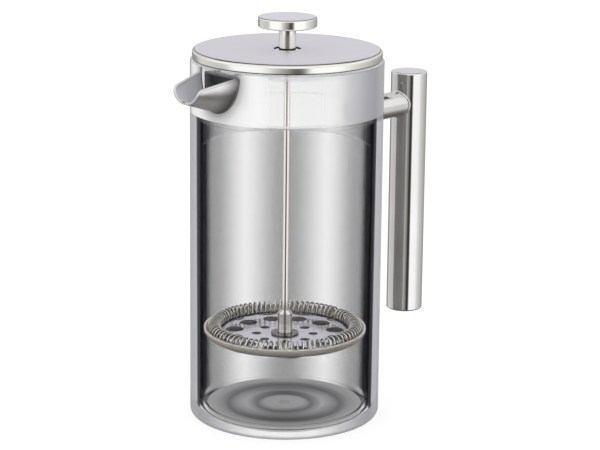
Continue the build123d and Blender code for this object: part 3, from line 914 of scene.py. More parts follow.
class Finish(Enum):
    """Every finish on the press."""

    SHELL = ClearShellFinish("clear_shell", band_start=171.5, wall_middle=51.6)
    # The base has no band and no upright outer skin, so both lie out of its reach
    BASE = ClearShellFinish("clear_base", band_start=400.0, wall_middle=60.0)
    LINER = SmokeLinerFinish("smoke_liner", wall_middle=46.8, shoulder=168.5, film_top=150.7)
    FLOOR = PressedFloorFinish("pressed_floor", radius=43.1)
    SEAL = SoftFinish("pale_seal", (0.86, 0.86, 0.88), (0.78, 0.78, 0.80), 0.45, opacity=0.04)
    GASKET = SoftFinish(
        "pale_gasket", (0.90, 0.90, 0.91), (0.84, 0.84, 0.85), 0.45, opacity=0.12
    )
    BUSH = SoftFinish("bush_plastic", (0.020, 0.020, 0.022), (0.012, 0.012, 0.013), 0.4, gloss=0.03)
    # Painted shade near the spout's root on the body
    SPOUT = SteelFinish(
        "spout_steel", (0.80, 0.79, 0.79), (0.70, 0.69, 0.69), 0.18, Grain.BUFFED, 420.0, metallic=0.9,
        hollow_colour=(0.74, 0.74, 0.79), root_shade_at=51.0,
    )
    HANDLE = SteelFinish(
        "handle_steel", (0.82, 0.82, 0.82), (0.74, 0.73, 0.72), 0.05, Grain.DRAWN, 120.0,
        grain_depth=0.0008, haze=0.02,
    )
    # The lid has a painted dark line on its bead, painted shade in its hole and a painted shadow along
    # its rim's lower edge
    LID = SteelFinish(
        "lid_steel", (0.87, 0.86, 0.89), (0.84, 0.83, 0.86), 0.36, Grain.TURNED, 160.0,
        polished_from=49.4, polish=0.22, painted_line_at=50.25, painted_line_half=0.5, hole_shade_radius=7.45,
        shaded_below=200.4,
    )
    LID_LINER = SoftFinish(
        "lid_liner_plastic", (0.92, 0.92, 0.93), (0.86, 0.86, 0.87), 0.25, opacity=0.15,
        clear_from=32.0,
    )
    # Near black: painted shade for the dark opening behind the spout
    SHADED_STRAINER = SteelFinish(
        "strainer_steel", (0.10, 0.10, 0.10), (0.06, 0.06, 0.06), 0.35, Grain.BUFFED, 500.0
    )
    # The knob's painted dark line is a painted reflection on its rounded edge
    KNOB = SteelFinish(
        "knob_steel", (0.86, 0.85, 0.88), (0.82, 0.81, 0.84), 0.26, Grain.TURNED, 160.0,
        polished_from=15.0, polish=0.15, painted_line_at=15.55, painted_line_half=0.3,
    )
    # Painted reflection streaks, and painted shade where the neck sits in the lid's hole
    NECK = SteelFinish(
        "neck_steel", (0.90, 0.885, 0.86), (0.85, 0.83, 0.80), 0.12, Grain.DRAWN, 300.0, metallic=0.8,
        painted_reflection_streaks=4, shaded_below=205.2,
    )
    # Painted reflection streaks
    ROD = SteelFinish(
        "rod_steel", (0.98, 0.95, 0.91), (0.92, 0.88, 0.83), 0.16, Grain.DRAWN, 300.0, metallic=0.7,
        painted_reflection_streaks=4, reflection_streak_colour=(0.13, 0.10, 0.08),
    )
    # Painted reflection streaks, and painted shade around the hub's foot
    HUB = SteelFinish(
        "hub_steel", (0.99, 0.97, 0.92), (0.94, 0.91, 0.86), 0.12, Grain.DRAWN, 300.0, metallic=0.6,
        painted_reflection_streaks=6, reflection_streak_colour=(0.10, 0.08, 0.07), painted_streak_share=0.75, shaded_below=45.6,
    )
    PLATE = SteelFinish(
        "filter_steel", (0.84, 0.83, 0.87), (0.60, 0.59, 0.62), 0.16, Grain.BUFFED, 700.0, metallic=0.9
    )
    SPRING = SteelFinish(
        "spring_steel", (0.99, 0.97, 0.92), (0.94, 0.91, 0.85), 0.06, Grain.BUFFED, 900.0, metallic=0.55,
        coiled=True,
    )
    WEAVE = WovenFinish("mesh_steel", (0.78, 0.73, 0.67), (0.17, 0.15, 0.13), painted_shade_below=44.6)
    # Near black: painted shade for the screen under the spring, seen between its turns
    SHADED_SIEVE = WovenFinish(
        "sieve_steel", (0.045, 0.038, 0.032), (0.01, 0.009, 0.008), dirt_colour=(0.04, 0.034, 0.028)
    )


class Wardrobe:
    """Makes each finish once and puts it on objects."""

    def __init__(self) -> None:
        """Starts with no finish made."""
        self.made: dict[Finish, bpy.types.Material] = {}

    def dress(self, piece: bpy.types.Object, finish: Finish) -> None:
        """Gives an object one finish all over.

        Args:
            piece: the object.
            finish: what it is dressed in.
        """
        if finish not in self.made:
            self.made[finish] = finish.value.make()
        piece.data.materials.clear()
        piece.data.materials.append(self.made[finish])

    def dress_nodes(self, **finishes: Finish) -> None:
        """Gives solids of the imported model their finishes.

        Args:
            finishes: a finish for each solid, by the solid's name.
        """
        for node, finish in finishes.items():
            self.dress(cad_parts[node], finish)
            log.info("%s: %s", node, finish.value.name)


WARDROBE = Wardrobe()


def weld_grid(
    name: str, points: np.ndarray, wrap_rows: bool, wrap_columns: bool, uv: np.ndarray | None = None
) -> bpy.types.Object:
    """Makes a smooth object from a grid of points.

    Face (i, j) joins rows i and i + 1 and columns j and j + 1; a wrapped side goes on to the first
    row or column. A row that lies in one point becomes a fan of triangles around it.

    Args:
        name: the object's name.
        points: rows by columns by 3, in metres.
        wrap_rows: whether the last row joins the first.
        wrap_columns: whether the last column joins the first.
        uv: rows by columns by 2, or None for no UV map.

    Returns:
        The object, linked to the scene.
    """
    rows, columns = points.shape[:2]
    numbers = np.arange(rows * columns).reshape(rows, columns)

    def corners(low: np.ndarray) -> np.ndarray:
        """Lists the faces of a grid.

        Args:
            low: rows by columns of point numbers.

        Returns:
            The four corners of each face, anticlockwise.
        """
        high = np.roll(low, -1, axis=0)
        right_low = np.roll(low, -1, axis=1)
        right_high = np.roll(high, -1, axis=1)
        quads = np.stack([low, right_low, right_high, high], axis=-1)
        quads = quads if wrap_rows else quads[:-1]
        return (quads if wrap_columns else quads[:, :-1]).reshape(-1, 4)

    one_point = np.ptp(points, axis=1).max(axis=1, keepdims=True) < ONE_POINT
    quads = corners(np.where(one_point, numbers[:, :1], numbers))
    uv_quads = corners(numbers)
    keep = np.ones_like(quads, dtype=bool)
    keep[:, 1] = quads[:, 1] != quads[:, 0]
    keep[:, 3] = quads[:, 3] != quads[:, 2]
    used, places = np.unique(quads[keep], return_inverse=True)
    counts = keep.sum(axis=1)
    mesh = bpy.data.meshes.new(name)
    mesh.vertices.add(len(used))
    mesh.vertices.foreach_set("co", points.reshape(-1, 3)[used].astype(np.float32).ravel())
    mesh.loops.add(int(counts.sum()))
    mesh.loops.foreach_set("vertex_index", places.astype(np.int32).ravel())
    mesh.polygons.add(len(quads))
    mesh.polygons.foreach_set("loop_start", (np.cumsum(counts) - counts).astype(np.int32))
    mesh.polygons.foreach_set("use_smooth", np.ones(len(quads), dtype=bool))
    if uv is not None:
        layer = mesh.uv_layers.new(name="weave")
        layer.uv.foreach_set("vector", uv.reshape(-1, 2)[uv_quads[keep]].astype(np.float32).ravel())
    mesh.update(calc_edges=True)
    mesh.validate()
    piece = bpy.data.objects.new(name, mesh)
    bpy.context.scene.collection.objects.link(piece)
    return piece


def arc(centre: Sequence[float], radius: float, start: float, end: float, steps: int) -> np.ndarray:
    """Points of an arc, centre plus radius times the cosine and sine of angles from start to end."""
    turn = np.radians(np.linspace(start, end, steps))
    return np.column_stack([centre[0] + radius * np.cos(turn), centre[1] + radius * np.sin(turn)])


def lathe(name: str, profile: np.ndarray, segments: int, close: bool = True) -> bpy.types.Object:
    """A surface of revolution around Z.

    Point (i, j) is (r cos t, r sin t, z), with r and z from row i of the profile and t the share j of
    a full turn. A profile with its solid on the left as it goes has its faces outwards.

    Args:
        name: the object's name.
        profile: rows of r and z, in millimetres.
        segments: columns around the axis.
        close: whether the profile's last row joins its first.

    Returns:
        The object.
    """
    turn = np.linspace(0.0, math.tau, segments, endpoint=False)
    ring = np.stack([np.cos(turn), np.sin(turn), np.ones_like(turn)], axis=-1)
    points = profile[:, None, [0, 0, 1]] * ring[None] * MM
    return weld_grid(name, points, close, True)


def tube(
    name: str, path: np.ndarray, radius: float, sides: int, closed: bool
) -> bpy.types.Object:
    """A round profile carried along a path.

    Row i is a circle of that radius around point i, across the path's direction there. Its first
    axis is square to that direction and to a helper way, which no path here runs along.

    Args:
        name: the object's name.
        path: points in millimetres.
        radius: the tube's radius in millimetres.
        sides: columns around the tube.
        closed: whether the path's end joins its start.

    Returns:
        The object, with capped ends if the path is open.
    """
    ahead = np.roll(path, -1, axis=0) - np.roll(path, 1, axis=0)
    if not closed:
        ahead[0] = path[1] - path[0]
        ahead[-1] = path[-1] - path[-2]
    ahead /= np.linalg.norm(ahead, axis=1, keepdims=True)
    across = np.cross(ahead, np.array(TUBE_HELPER))
    across /= np.linalg.norm(across, axis=1, keepdims=True)
    upwards = np.cross(ahead, across)
    turn = np.linspace(0.0, math.tau, sides, endpoint=False)[None, :, None]
    circle = across[:, None] * np.cos(turn) + upwards[:, None] * np.sin(turn)
    points = path[:, None] + radius * circle
    if not closed:
        first = np.repeat(path[:1, None], sides, axis=1)
        last = np.repeat(path[-1:, None], sides, axis=1)
        points = np.concatenate([first, points, last])
    return weld_grid(name, points * MM, closed, True)


def settle(
    piece: bpy.types.Object, body: str, finish: Finish, slot: str, *nodes: str
) -> bpy.types.Object:
    """Dresses a new piece, ties it to its body and hides the solids that it stands for.

    Args:
        piece: the new object.
        body: the body that carries it.
        finish: what it is dressed in.
        slot: a material slot's name; not used.
        nodes: the solids that it replaces, if any.

    Returns:
        The same object.
    """
    WARDROBE.dress(piece, finish)
    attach(piece, body)
    if nodes:
        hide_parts(*nodes)
    log.info("%s: %d faces, on %s", piece.name, len(piece.data.polygons), body)
    return piece


@dataclass
class Vessel:
    """The see-through double wall, its floor and its seal."""

    def build(self) -> None:
        """Dresses the solids of the walls."""
        WARDROBE.dress_nodes(
            outer_wall=Finish.SHELL,
            outer_base=Finish.BASE,
            inner_wall=Finish.LINER,
            inner_floor=Finish.FLOOR,
            shoulder_seal=Finish.SEAL,
        )


@dataclass
class Spout:
    """The open trough, its rolled edge and the weld around its root."""

    body_radius: float = BODY_RADIUS
    root: float = 47.0
    lip: float = 74.9
    root_width: float = 29.0
    lip_width: float = 16.8
    root_depth: float = 21.0
    lip_depth: float = 6.8
    root_top: float = 197.2
    lip_top: float = 192.0
    wall: float = 1.2
    rake: float = 0.9
    rake_slope: float = 0.17
    corner: float = 3.6
    roll: float = 0.72
    roll_sides: int = 12
    weld: float = 0.55
    weld_sides: int = 8
    tuck: float = 2.0
    corner_steps: int = 20
    edge_steps: int = 40
    root_steps: int = 80
    root_rounds: int = 4

    def section(self, reach: np.ndarray, skin: float) -> tuple[np.ndarray, np.ndarray, np.ndarray]:
        """Cuts the trough across, with every size going evenly from root to lip.

        Args:
            reach: distances from the vessel's axis.
            skin: how far outside the trough's hollow the cut's line runs.

        Returns:
            Half width, depth and top at each reach.
        """
        share = (reach - self.root) / (self.lip - self.root)
        half = (self.root_width + (self.lip_width - self.root_width) * share) / 2 + skin
        depth = self.root_depth + (self.lip_depth - self.root_depth) * share + skin
        return half, depth, self.root_top + (self.lip_top - self.root_top) * share

    def side_outline(self) -> tuple[np.ndarray, np.ndarray]:
        """The edge in side view: along the top, round the lip's corner and down its raked end.

        The corner is a parabola that touches both lines: its ends lie at the corner's radius times
        the tangent of half the turn from the point where they cross. The edge starts tucked inside
        the body's radius.

        Returns:
            The reach and the height of each point.
        """
        tip = self.lip - self.roll
        top_end = np.array([tip - self.rake, self.lip_top + self.rake * self.rake_slope])
        along = np.array([self.root - self.lip, self.root_top - self.lip_top])
        down = np.array([self.rake, -self.lip_depth])
        along = along / np.linalg.norm(along)
        down = down / np.linalg.norm(down)
        half_turn = (math.pi - math.acos(float(along @ down))) / 2
        cut = self.corner * math.tan(half_turn)
        start, end = top_end + along * cut, top_end + down * cut
        t = np.linspace(0.0, 1.0, self.corner_steps)[:, None]
        bend = (1 - t) ** 2 * start + 2 * t * (1 - t) * top_end + t**2 * end
        t = np.linspace(0.0, 1.0, self.edge_steps, endpoint=False)[:, None]
        first = top_end + along * (tip - self.rake - self.body_radius + self.tuck)
        top = first + (start - first) * t
        bottom = np.array([tip, self.lip_top - self.lip_depth - self.wall / 2])
        t = np.sin(np.linspace(0.0, math.pi / 2, self.edge_steps))[1:, None]
        lip = end + (bottom - end) * t
        line = np.vstack([top, bend, lip])
        return line[:, 0], line[:, 1]

    def edge_roll(self) -> bpy.types.Object:
        """The rolled edge: a round bar along the trough's outline.

        At each point of the side outline, y is the half width times the square root of one less the
        squared share of the depth, on one side and then back along the other.

        Returns:
            The object.
        """
        reach, height = self.side_outline()
        half, depth, top = self.section(reach, self.wall / 2)
        share = np.clip((top - height) / depth, 0.0, 1.0)
        y = half * np.sqrt(1.0 - share**2)
        right = np.column_stack([-reach, y, height])
        left = np.column_stack([-reach, -y, height])[::-1]
        outline = np.vstack([right, left[1:]])
        return tube("spout_edge", outline, self.roll, self.roll_sides, closed=False)

    def root_weld(self) -> bpy.types.Object:
        """The weld where the trough meets the body.

        The path goes down and up the outer half ellipse at the reach where it crosses the body's
        radius, worked out in a few rounds so that width and reach agree.

        Returns:
            The object.
        """
        turn = np.radians(np.linspace(180.0, 360.0, self.root_steps))
        reach = np.full_like(turn, self.body_radius)
        for _ in range(self.root_rounds):
            half, depth, top = self.section(reach, self.wall)
            reach = np.sqrt(self.body_radius**2 - (half * np.cos(turn)) ** 2)
        path = np.column_stack([-reach, half * np.cos(turn), top + depth * np.sin(turn)])
        return tube("spout_weld", path, self.weld, self.weld_sides, closed=False)

    def build(self) -> None:
        """Dresses the trough and adds its edge and weld."""
        WARDROBE.dress_nodes(spout=Finish.SPOUT)
        settle(self.edge_roll(), "vessel", Finish.SPOUT, "spout_steel")
        settle(self.root_weld(), "vessel", Finish.SPOUT, "spout_steel")


@dataclass
class Handle:
    """The upright grip, its post and the welds at the post's two ends."""

    grip_x: float = 98.55
    grip_radius: float = 10.35
    grip_bottom: float = 40.0
    grip_top: float = 180.6
    edge: float = 1.0
    edge_steps: int = 8
    rows: int = 26
    post_z: float = 162.5
    post_radius: float = 7.3
    wall_radius: float = BODY_RADIUS
    bead: float = 0.7
    bead_sides: int = 10
    segments: int = 96

    def grip(self) -> bpy.types.Object:
        """Makes the grip as one lathe with rounded edges at both ends, turned around its own axis.

        Returns:
            The object, with its mesh moved out to the grip's place.
        """
        inset = self.grip_radius - self.edge
        low = arc((inset, self.grip_bottom + self.edge), self.edge, -90, 0, self.edge_steps)
        high = arc((inset, self.grip_top - self.edge), self.edge, 0, 90, self.edge_steps)
        heights = np.linspace(low[-1, 1], high[0, 1], self.rows)[1:-1]
        middle = np.column_stack([np.full_like(heights, self.grip_radius), heights])
        profile = np.vstack([[0.0, self.grip_bottom], low, middle, high, [0.0, self.grip_top]])
        piece = lathe("grip", profile, self.segments, close=False)
        move_mesh(piece, np.array([self.grip_x * MM, 0.0, 0.0]))
        return piece

    def weld(self, name: str, radius: float, centre_x: float, side: float) -> bpy.types.Object:
        """A weld bead where the post meets an upright cylinder.

        The path is the crossing of the two: y and z go round the post's circle, and x is the
        cylinder's centre plus side times the square root of its radius squared less y squared.

        Args:
            name: the object's name.
            radius: the cylinder's radius.
            centre_x: where the cylinder's axis stands.
            side: 1 for the side of the cylinder towards +X, -1 for the other.

        Returns:
            The object.
        """
        turn = np.linspace(0.0, math.tau, self.segments, endpoint=False)
        y = self.post_radius * np.cos(turn)
        z = self.post_z + self.post_radius * np.sin(turn)
        x = centre_x + side * np.sqrt(radius**2 - y**2)
        return tube(name, np.column_stack([x, y, z]), self.bead, self.bead_sides, closed=True)

    def build(self) -> None:
        """Makes the grip and welds, and dresses the post."""
        settle(
            self.grip(), "vessel", Finish.HANDLE, "handle_steel",
            "handle_grip", "handle_top_cap", "handle_bottom_cap",
        )
        grip_weld = self.weld("grip_weld", self.grip_radius, self.grip_x, -1.0)
        settle(grip_weld, "vessel", Finish.HANDLE, "handle_steel")
        wall_weld = self.weld("wall_weld", self.wall_radius, 0.0, 1.0)
        settle(wall_weld, "vessel", Finish.HANDLE, "handle_steel")
        WARDROBE.dress_nodes(handle_post=Finish.HANDLE)


def move_mesh(piece: bpy.types.Object, shift: np.ndarray) -> None:
    """Moves every point of a mesh, so that its object stays at the origin.

    Args:
        piece: the object.
        shift: the way in metres.
    """
    count = len(piece.data.vertices)
    places = np.empty(count * 3, dtype=np.float32)
    piece.data.vertices.foreach_get("co", places)
    places = (places.reshape(-1, 3) + shift).astype(np.float32)
    piece.data.vertices.foreach_set("co", places.ravel())
    piece.data.update()


@dataclass
class Lid:
    """The flat lid with its beaded rim, and what hangs under it."""

    radius: float = 51.4
    top: float = 204.9
    bottom: float = 199.8
    hole: float = 7.2
    sheet: float = 1.0
    edge: float = 0.4
    edge_steps: int = 6
    flat_from_hole: float = 0.6
    flat_to_bead: float = 0.7
    flat_steps: int = 20
    bead: float = 1.9
    bead_steps: int = 14
    groove: float = 0.18
    groove_start: float = 0.45
    groove_middle: float = 0.25
    groove_end: float = 0.08
    groove_rest: float = 0.02
    segments: int = 180

    def cap(self) -> bpy.types.Object:
        """Makes the lid's skin as a lathe.

        Its outline runs over the flat top, a fine groove, the rounded bead, the upright rim and back
        along the inner side.

        Returns:
            The object.
        """
        bead_start = self.radius - self.bead
        bead = arc((bead_start, self.top - self.bead), self.bead, 90, 0, self.bead_steps)
        hole_centre = (self.hole + self.edge, self.top - self.edge)
        hole_edge = arc(hole_centre, self.edge, 180, 90, self.edge_steps)
        rim_centre = (self.radius - self.edge, self.bottom + self.edge)
        rim_low = arc(rim_centre, self.edge, 0, -90, self.edge_steps)
        flat_start = self.hole + self.flat_from_hole
        places = np.linspace(flat_start, bead_start - self.flat_to_bead, self.flat_steps)
        flat = np.column_stack([places, np.full_like(places, self.top)])
        dip = np.array(
            [
                [bead_start - self.groove_start, self.top],
                [bead_start - self.groove_middle, self.top - self.groove],
                [bead_start - self.groove_end, self.top - self.groove_rest],
            ]
        )
        inner = np.array(
            [
                [self.radius - self.sheet, self.bottom],
                [self.radius - self.sheet, self.top - self.sheet],
                [self.hole, self.top - self.sheet],
            ]
        )
        outline = np.vstack([hole_edge, flat, dip, bead, rim_low, inner])
        return lathe("lid_skin", outline[::-1], self.segments)

    def build(self) -> None:
        """Makes the skin and dresses the parts under it."""
        settle(self.cap(), "lid", Finish.LID, "lid_steel", "lid_cap")
        WARDROBE.dress_nodes(
            lid_liner=Finish.LID_LINER,
            lid_gasket=Finish.GASKET,
            pour_strainer=Finish.SHADED_STRAINER,
            strainer_rivets=Finish.SHADED_STRAINER,
            guide_bush=Finish.BUSH,
            bush_retainer=Finish.BUSH,
        )


@dataclass
class Plunger:
    """The knob, its neck and the rod."""

    knob_radius: float = 16.0
    knob_bottom: float = 216.7
    knob_top: float = 222.3
    edge: float = 0.9
    edge_end: float = 84.0
    edge_steps: int = 8
    crown_steps: int = 12
    segments: int = 120

    def knob(self) -> bpy.types.Object:
        """Makes the knob as a lathe: a disc with rounded edges and a faintly crowned top.

        Returns:
            The object.
        """
        inset = self.knob_radius - self.edge
        low = arc((inset, self.knob_bottom + self.edge), self.edge, -90, 0, self.edge_steps)
        high = arc((inset, self.knob_top - self.edge), self.edge, 0, self.edge_end, self.edge_steps)
        share = np.linspace(1.0, 0.0, self.crown_steps)[1:]
        rise = self.knob_top - high[-1, 1]
        crown = np.column_stack([share * high[-1, 0], self.knob_top - rise * share**2])
        profile = np.vstack([[0.0, self.knob_bottom], low, high, crown])
        return lathe("knob_disc", profile, self.segments, close=False)

    def build(self) -> None:
        """Makes the knob and dresses the neck and rod. The satin lid doesn't mirror knob and neck."""
        knob = settle(self.knob(), "plunger", Finish.KNOB, "knob_steel", "knob")
        WARDROBE.dress_nodes(knob_neck=Finish.NECK, plunger_rod=Finish.ROD)
        for piece in (knob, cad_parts["knob_neck"]):
            piece.visible_glossy = False


@dataclass
class Filter:
    """The filter stack: hub, plates, woven sieve and the spring around its edge."""

    coil_radius: float = 39.25
    coil_height: float = 48.55
    coil_turn_radius: float = 3.2
    wire_radius: float = 0.5
    turns: int = 82
    steps_per_turn: int = 28
    sides: int = 10
    mesh_bottom: float = 43.4
    hem_radius: float = 45.0
    hem_steps: int = 20
    cup_radius: float = 3.75
    cup_steps: int = 16
    wire_spacing: float = 0.55
    bead_rise: float = 0.3
    bead_width: float = 0.9
    bead_steps: int = 13
    bead_foot: Span = (1.6, 0.3)
    bead_drop: float = 0.6
    segments: int = 240

    def spring(self) -> bpy.types.Object:
        """The spring's wire.

        Its centre line is a helix bent round a ring: at turn w the distance from the axis is the coil
        radius plus the turn radius times cos w, the height is the turn radius times sin w above the
        ring, and the ring's own angle grows by one full turn over all the turns plus one.

        Returns:
            The object.
        """
        turns = np.linspace(0.0, self.turns, self.turns * self.steps_per_turn + 1)
        wind = math.tau * turns
        around = math.tau * turns / (self.turns + 1)
        reach = self.coil_radius + self.coil_turn_radius * np.cos(wind)
        path = np.column_stack(
            [
                reach * np.cos(around),
                reach * np.sin(around),
                self.coil_height + self.coil_turn_radius * np.sin(wind),
            ]
        )
        return tube("edge_spring", path, self.wire_radius, self.sides, closed=False)

    def turned_band(self, name: str, profile: np.ndarray) -> bpy.types.Object:
        """A profile turned around the axis, with a UV map counted in wire spacings.

        Args:
            name: the object's name.
            profile: rows of r and z, in millimetres.

        Returns:
            The object. Its first and last columns lie on each other, where the UV map ends.
        """
        angle = np.linspace(0.0, math.tau, self.segments + 1)
        ring = np.stack([np.cos(angle), np.sin(angle), np.ones_like(angle)], axis=-1)
        points = profile[:, None, [0, 0, 1]] * ring[None] * MM
        run = np.concatenate([[0.0], np.cumsum(np.linalg.norm(np.diff(profile, axis=0), axis=1))])
        around = np.round(math.tau * self.hem_radius / self.wire_spacing)
        across = (angle / math.tau * around)[None, :]
        uv = np.stack(np.broadcast_arrays(across, (run / self.wire_spacing)[:, None]), axis=-1)
        return weld_grid(name, points, False, False, uv)

    def hem(self) -> bpy.types.Object:
        """The outside of the sieve's turned-up edge: a quarter of an ellipse around the coil's ring.

        Returns:
            The object.
        """
        turn = np.radians(np.linspace(-90.0, 0.0, self.hem_steps))
        outer = np.column_stack(
            [
                self.coil_radius + (self.hem_radius - self.coil_radius) * np.cos(turn),
                self.coil_height + (self.coil_height - self.mesh_bottom) * np.sin(turn),
            ]
        )
        return self.turned_band("sieve_hem", outer)

    def cup(self) -> bpy.types.Object:
        """The inside of the turned-up edge, in which the coil lies: a quarter circle and its foot.

        Returns:
            The object.
        """
        centre = (self.coil_radius, self.coil_height)
        inner = arc(centre, self.cup_radius, 0, -90, self.cup_steps)
        outer_edge = [[self.hem_radius, self.coil_height]]
        foot = [[self.coil_radius, self.mesh_bottom]]
        return self.turned_band("sieve_cup", np.vstack([outer_edge, inner, foot]))

    def bead(self) -> bpy.types.Object:
        """The hem's rolled edge: a low half round on a foot, turned around the axis.

        Returns:
            The object.
        """
        half = self.bead_width / 2
        turn = np.radians(np.linspace(0.0, 180.0, self.bead_steps))
        dome = np.column_stack(
            [
                self.hem_radius - half + half * np.cos(turn),
                self.coil_height + self.bead_rise * np.sin(turn),
            ]
        )
        low = self.coil_height - self.bead_drop
        foot = [[self.hem_radius - share * half, low] for share in self.bead_foot]
        return lathe("hem_bead", np.vstack([dome, foot]), self.segments)

    def build(self) -> None:
        """Makes the spring, the sieve's edge and its bead, and dresses the hub, sieve and plates."""
        settle(self.spring(), "plunger", Finish.SPRING, "spring_steel", "rim_spring")
        settle(self.hem(), "plunger", Finish.WEAVE, "mesh_steel", "mesh_hem")
        settle(self.cup(), "plunger", Finish.WEAVE, "mesh_steel")
        settle(self.bead(), "plunger", Finish.SPRING, "mesh_steel")
        WARDROBE.dress_nodes(
            mesh_screen=Finish.SHADED_SIEVE,
            filter_hub=Finish.HUB,
            spring_plate=Finish.PLATE,
            cross_plate=Finish.PLATE,
            filter_nut=Finish.PLATE,
        )


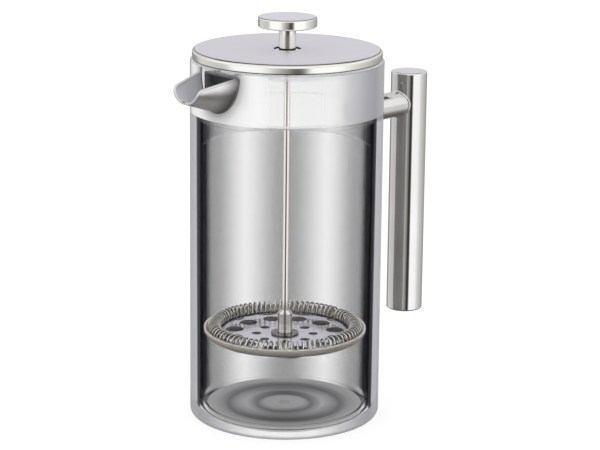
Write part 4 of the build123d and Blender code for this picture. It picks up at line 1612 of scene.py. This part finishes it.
@dataclass
class Studio:
    """The pale floor, the light that polished steel mirrors, and the camera of the photograph.

    Heights are the Z of a ray's way, from -1 to 1. A mirror stop is a turn from the front in degrees
    and a brightness.
    """

    distance: float = 1199.2
    height: float = 415.0
    pitch: float = 14.413
    yaw: float = 0.373
    roll: float = 0.613
    focal_pixels: float = 2255.5
    frame_width: float = 600.0
    sensor: float = 36.0
    farthest: float = 100000.0
    floor_half: float = 9000.0
    floor_level: float = -0.4
    floor_tone: float = 0.52
    floor_lift: float = 0.58
    see_through_bounces: int = 32
    mirror_stops: Levels = (
        (-180, 0.30), (-160, 0.36), (-146, 0.28), (-138, 0.45), (-130, 0.76), (-112, 0.70), (-84, 0.62),
        (-76, 0.68), (-70, 1.12), (-30, 1.12), (-20, 0.80), (-10, 0.50), (0, 0.30), (5, 0.24), (8, 0.05),
        (20, 0.05), (23, 0.30), (28, 1.20), (66, 1.15), (76, 0.98), (88, 0.78), (112, 0.62), (128, 0.48),
        (144, 0.42), (160, 0.33), (180, 0.30),
    )
    mirror_peak: float = 1.25
    taupe: Colour = (1.0, 0.95, 0.885)
    back_wall: Colour = (0.61, 0.595, 0.635)
    front_wall: Colour = (0.80, 0.80, 0.80)
    ceiling: Colour = (0.03, 0.03, 0.03)
    zenith: Colour = (0.62, 0.61, 0.64)
    ground: Colour = (0.10, 0.09, 0.08)
    ground_heights: Span = (-0.75, -0.35)
    horizon_heights: Span = (-0.02, 0.06)
    ceiling_heights: Span = (0.60, 0.70)
    zenith_heights: Span = (0.86, 0.94)
    back_turn: Span = (-0.7, -0.2)

    def camera(self) -> None:
        """Places the camera, fitted to the photograph's rims and then turned around the press."""
        yaw, pitch, roll = (math.radians(v) for v in (self.yaw, self.pitch, self.roll))
        level = math.cos(pitch)
        ahead = np.array([math.sin(yaw) * level, math.cos(yaw) * level, -math.sin(pitch)])
        right = np.array([math.cos(yaw), -math.sin(yaw), 0.0])
        up = np.cross(right, ahead)
        right, up = (
            right * math.cos(roll) + up * math.sin(roll),
            up * math.cos(roll) - right * math.sin(roll),
        )
        around = math.radians(FRONT_AZIMUTH)
        spin = np.array(
            [
                [math.cos(around), -math.sin(around), 0.0],
                [math.sin(around), math.cos(around), 0.0],
                [0.0, 0.0, 1.0],
            ]
        )
        matrix = np.eye(4)
        matrix[:3, :3] = spin @ np.column_stack([right, up, -ahead])
        matrix[:3, 3] = spin @ np.array([0.0, -self.distance * MM, self.height * MM])
        data = bpy.data.cameras.new("photo_camera")
        data.sensor_fit = "HORIZONTAL"
        data.sensor_width = self.sensor
        data.lens = self.sensor * self.focal_pixels / self.frame_width
        data.clip_end = self.farthest * MM
        item = bpy.data.objects.new("photo_camera", data)
        item.matrix_world = [list(row) for row in matrix.T]
        bpy.context.scene.collection.objects.link(item)
        bpy.context.scene.camera = item

    def mirror_light(self, bench: Bench, x: Wire, y: Wire) -> Wire:
        """The light that polished steel mirrors from each side: soft boxes with dark gaps.

        Args:
            bench: the bench of the world's tree.
            x: the ray's way along X.
            y: the ray's way along Y.

        Returns:
            A colour looked up along the angle from the front.
        """
        turn = bench.turn_from_front(x, y) / math.tau + 0.5
        share = turn.maths("FRACT")
        stops = [((angle + 180.0) / 360.0, self.box_colour(level)) for angle, level in self.mirror_stops]
        return bench.ramp(share, stops)

    def box_colour(self, level: float) -> Colour:
        """The colour of a box: neutral when bright, taupe when dark.

        Args:
            level: the box's brightness.

        Returns:
            The colour as a share of the peak.
        """
        warmth = 1.0 - min(level, 1.0)
        share = level / self.mirror_peak
        red, green, blue = (share * (1.0 + (part - 1.0) * warmth) for part in self.taupe)
        return red, green, blue

    def world(self) -> None:
        """White to the camera and to matt surfaces, and a shaped studio to polished ones.

        Polished steel sees upright soft boxes below the horizon, where its reflections go from this
        camera, a dark ground under them, pale grey behind the press under a dark strip of ceiling,
        and light in front of it and overhead.
        """
        world = bpy.data.worlds.new("studio")
        world.use_nodes = True
        bench = Bench(world.node_tree)
        x, y, z = bench.split(bench.node("ShaderNodeTexCoord", out="Generated"))
        mirrored = bench.light_path("Is Glossy Ray")
        low = z.rise(*self.ground_heights, 1.0, 0.0)
        boxes = bench.mix(low, self.mirror_light(bench, x, y), self.ground)
        behind = bench.turn_from_front(x, y).cosine().rise(*self.back_turn, 1.0, 0.0)
        back_sky = bench.mix(z.rise(*self.ceiling_heights), self.back_wall, self.ceiling)
        sky = bench.mix(behind, self.front_wall, back_sky)
        sky = bench.mix(z.rise(*self.zenith_heights), sky, self.zenith)
        studio = bench.mix(z.rise(*self.horizon_heights), boxes, sky)
        plain = bench.node("ShaderNodeBackground", sockets={"Color": (1, 1, 1, 1), "Strength": 1.0})
        shaped = bench.node(
            "ShaderNodeBackground", sockets={"Color": studio, "Strength": self.mirror_peak}
        )
        both = bench.node("ShaderNodeMixShader", sockets={0: mirrored, 1: plain, 2: shaped})
        bench.node("ShaderNodeOutputWorld", sockets={"Surface": both})
        bpy.context.scene.world = world

    def floor(self) -> None:
        """A wide pale floor, left out of reflections so that they stay upright on every bar."""
        side = np.array([-self.floor_half, self.floor_half]) * MM
        level = np.float64(self.floor_level * MM)
        points = np.stack(np.broadcast_arrays(side[:, None], side[None, :], level), axis=-1)
        floor = weld_grid("floor", points[:, ::-1], False, False)
        floor.visible_glossy = False
        material, bench = new_material("pale_floor")
        grey = (self.floor_tone, self.floor_tone, self.floor_tone, 1.0)
        matt = bench.node("ShaderNodeBsdfDiffuse", sockets={"Color": grey})
        glow = {"Color": (1, 1, 1, 1), "Strength": self.floor_lift}
        lift = bench.node("ShaderNodeEmission", sockets=glow)
        seen = bench.node("ShaderNodeAddShader", sockets={0: matt, 1: lift})
        bench.node("ShaderNodeOutputMaterial", sockets={"Surface": seen})
        floor.data.materials.append(material)

    def build(self) -> None:
        """Sets the camera, the light and the floor."""
        self.camera()
        self.world()
        self.floor()
        scene = bpy.context.scene
        scene.view_settings.view_transform = "Standard"
        scene.cycles.transparent_max_bounces = self.see_through_bounces


def main() -> None:
    """Builds the studio and every sub-assembly, in order."""
    logging.basicConfig(level=logging.INFO, format="%(message)s")
    for assembly in (Studio(), Vessel(), Spout(), Handle(), Lid(), Plunger(), Filter()):
        assembly.build()


if __name__ == "__main__":
    main()
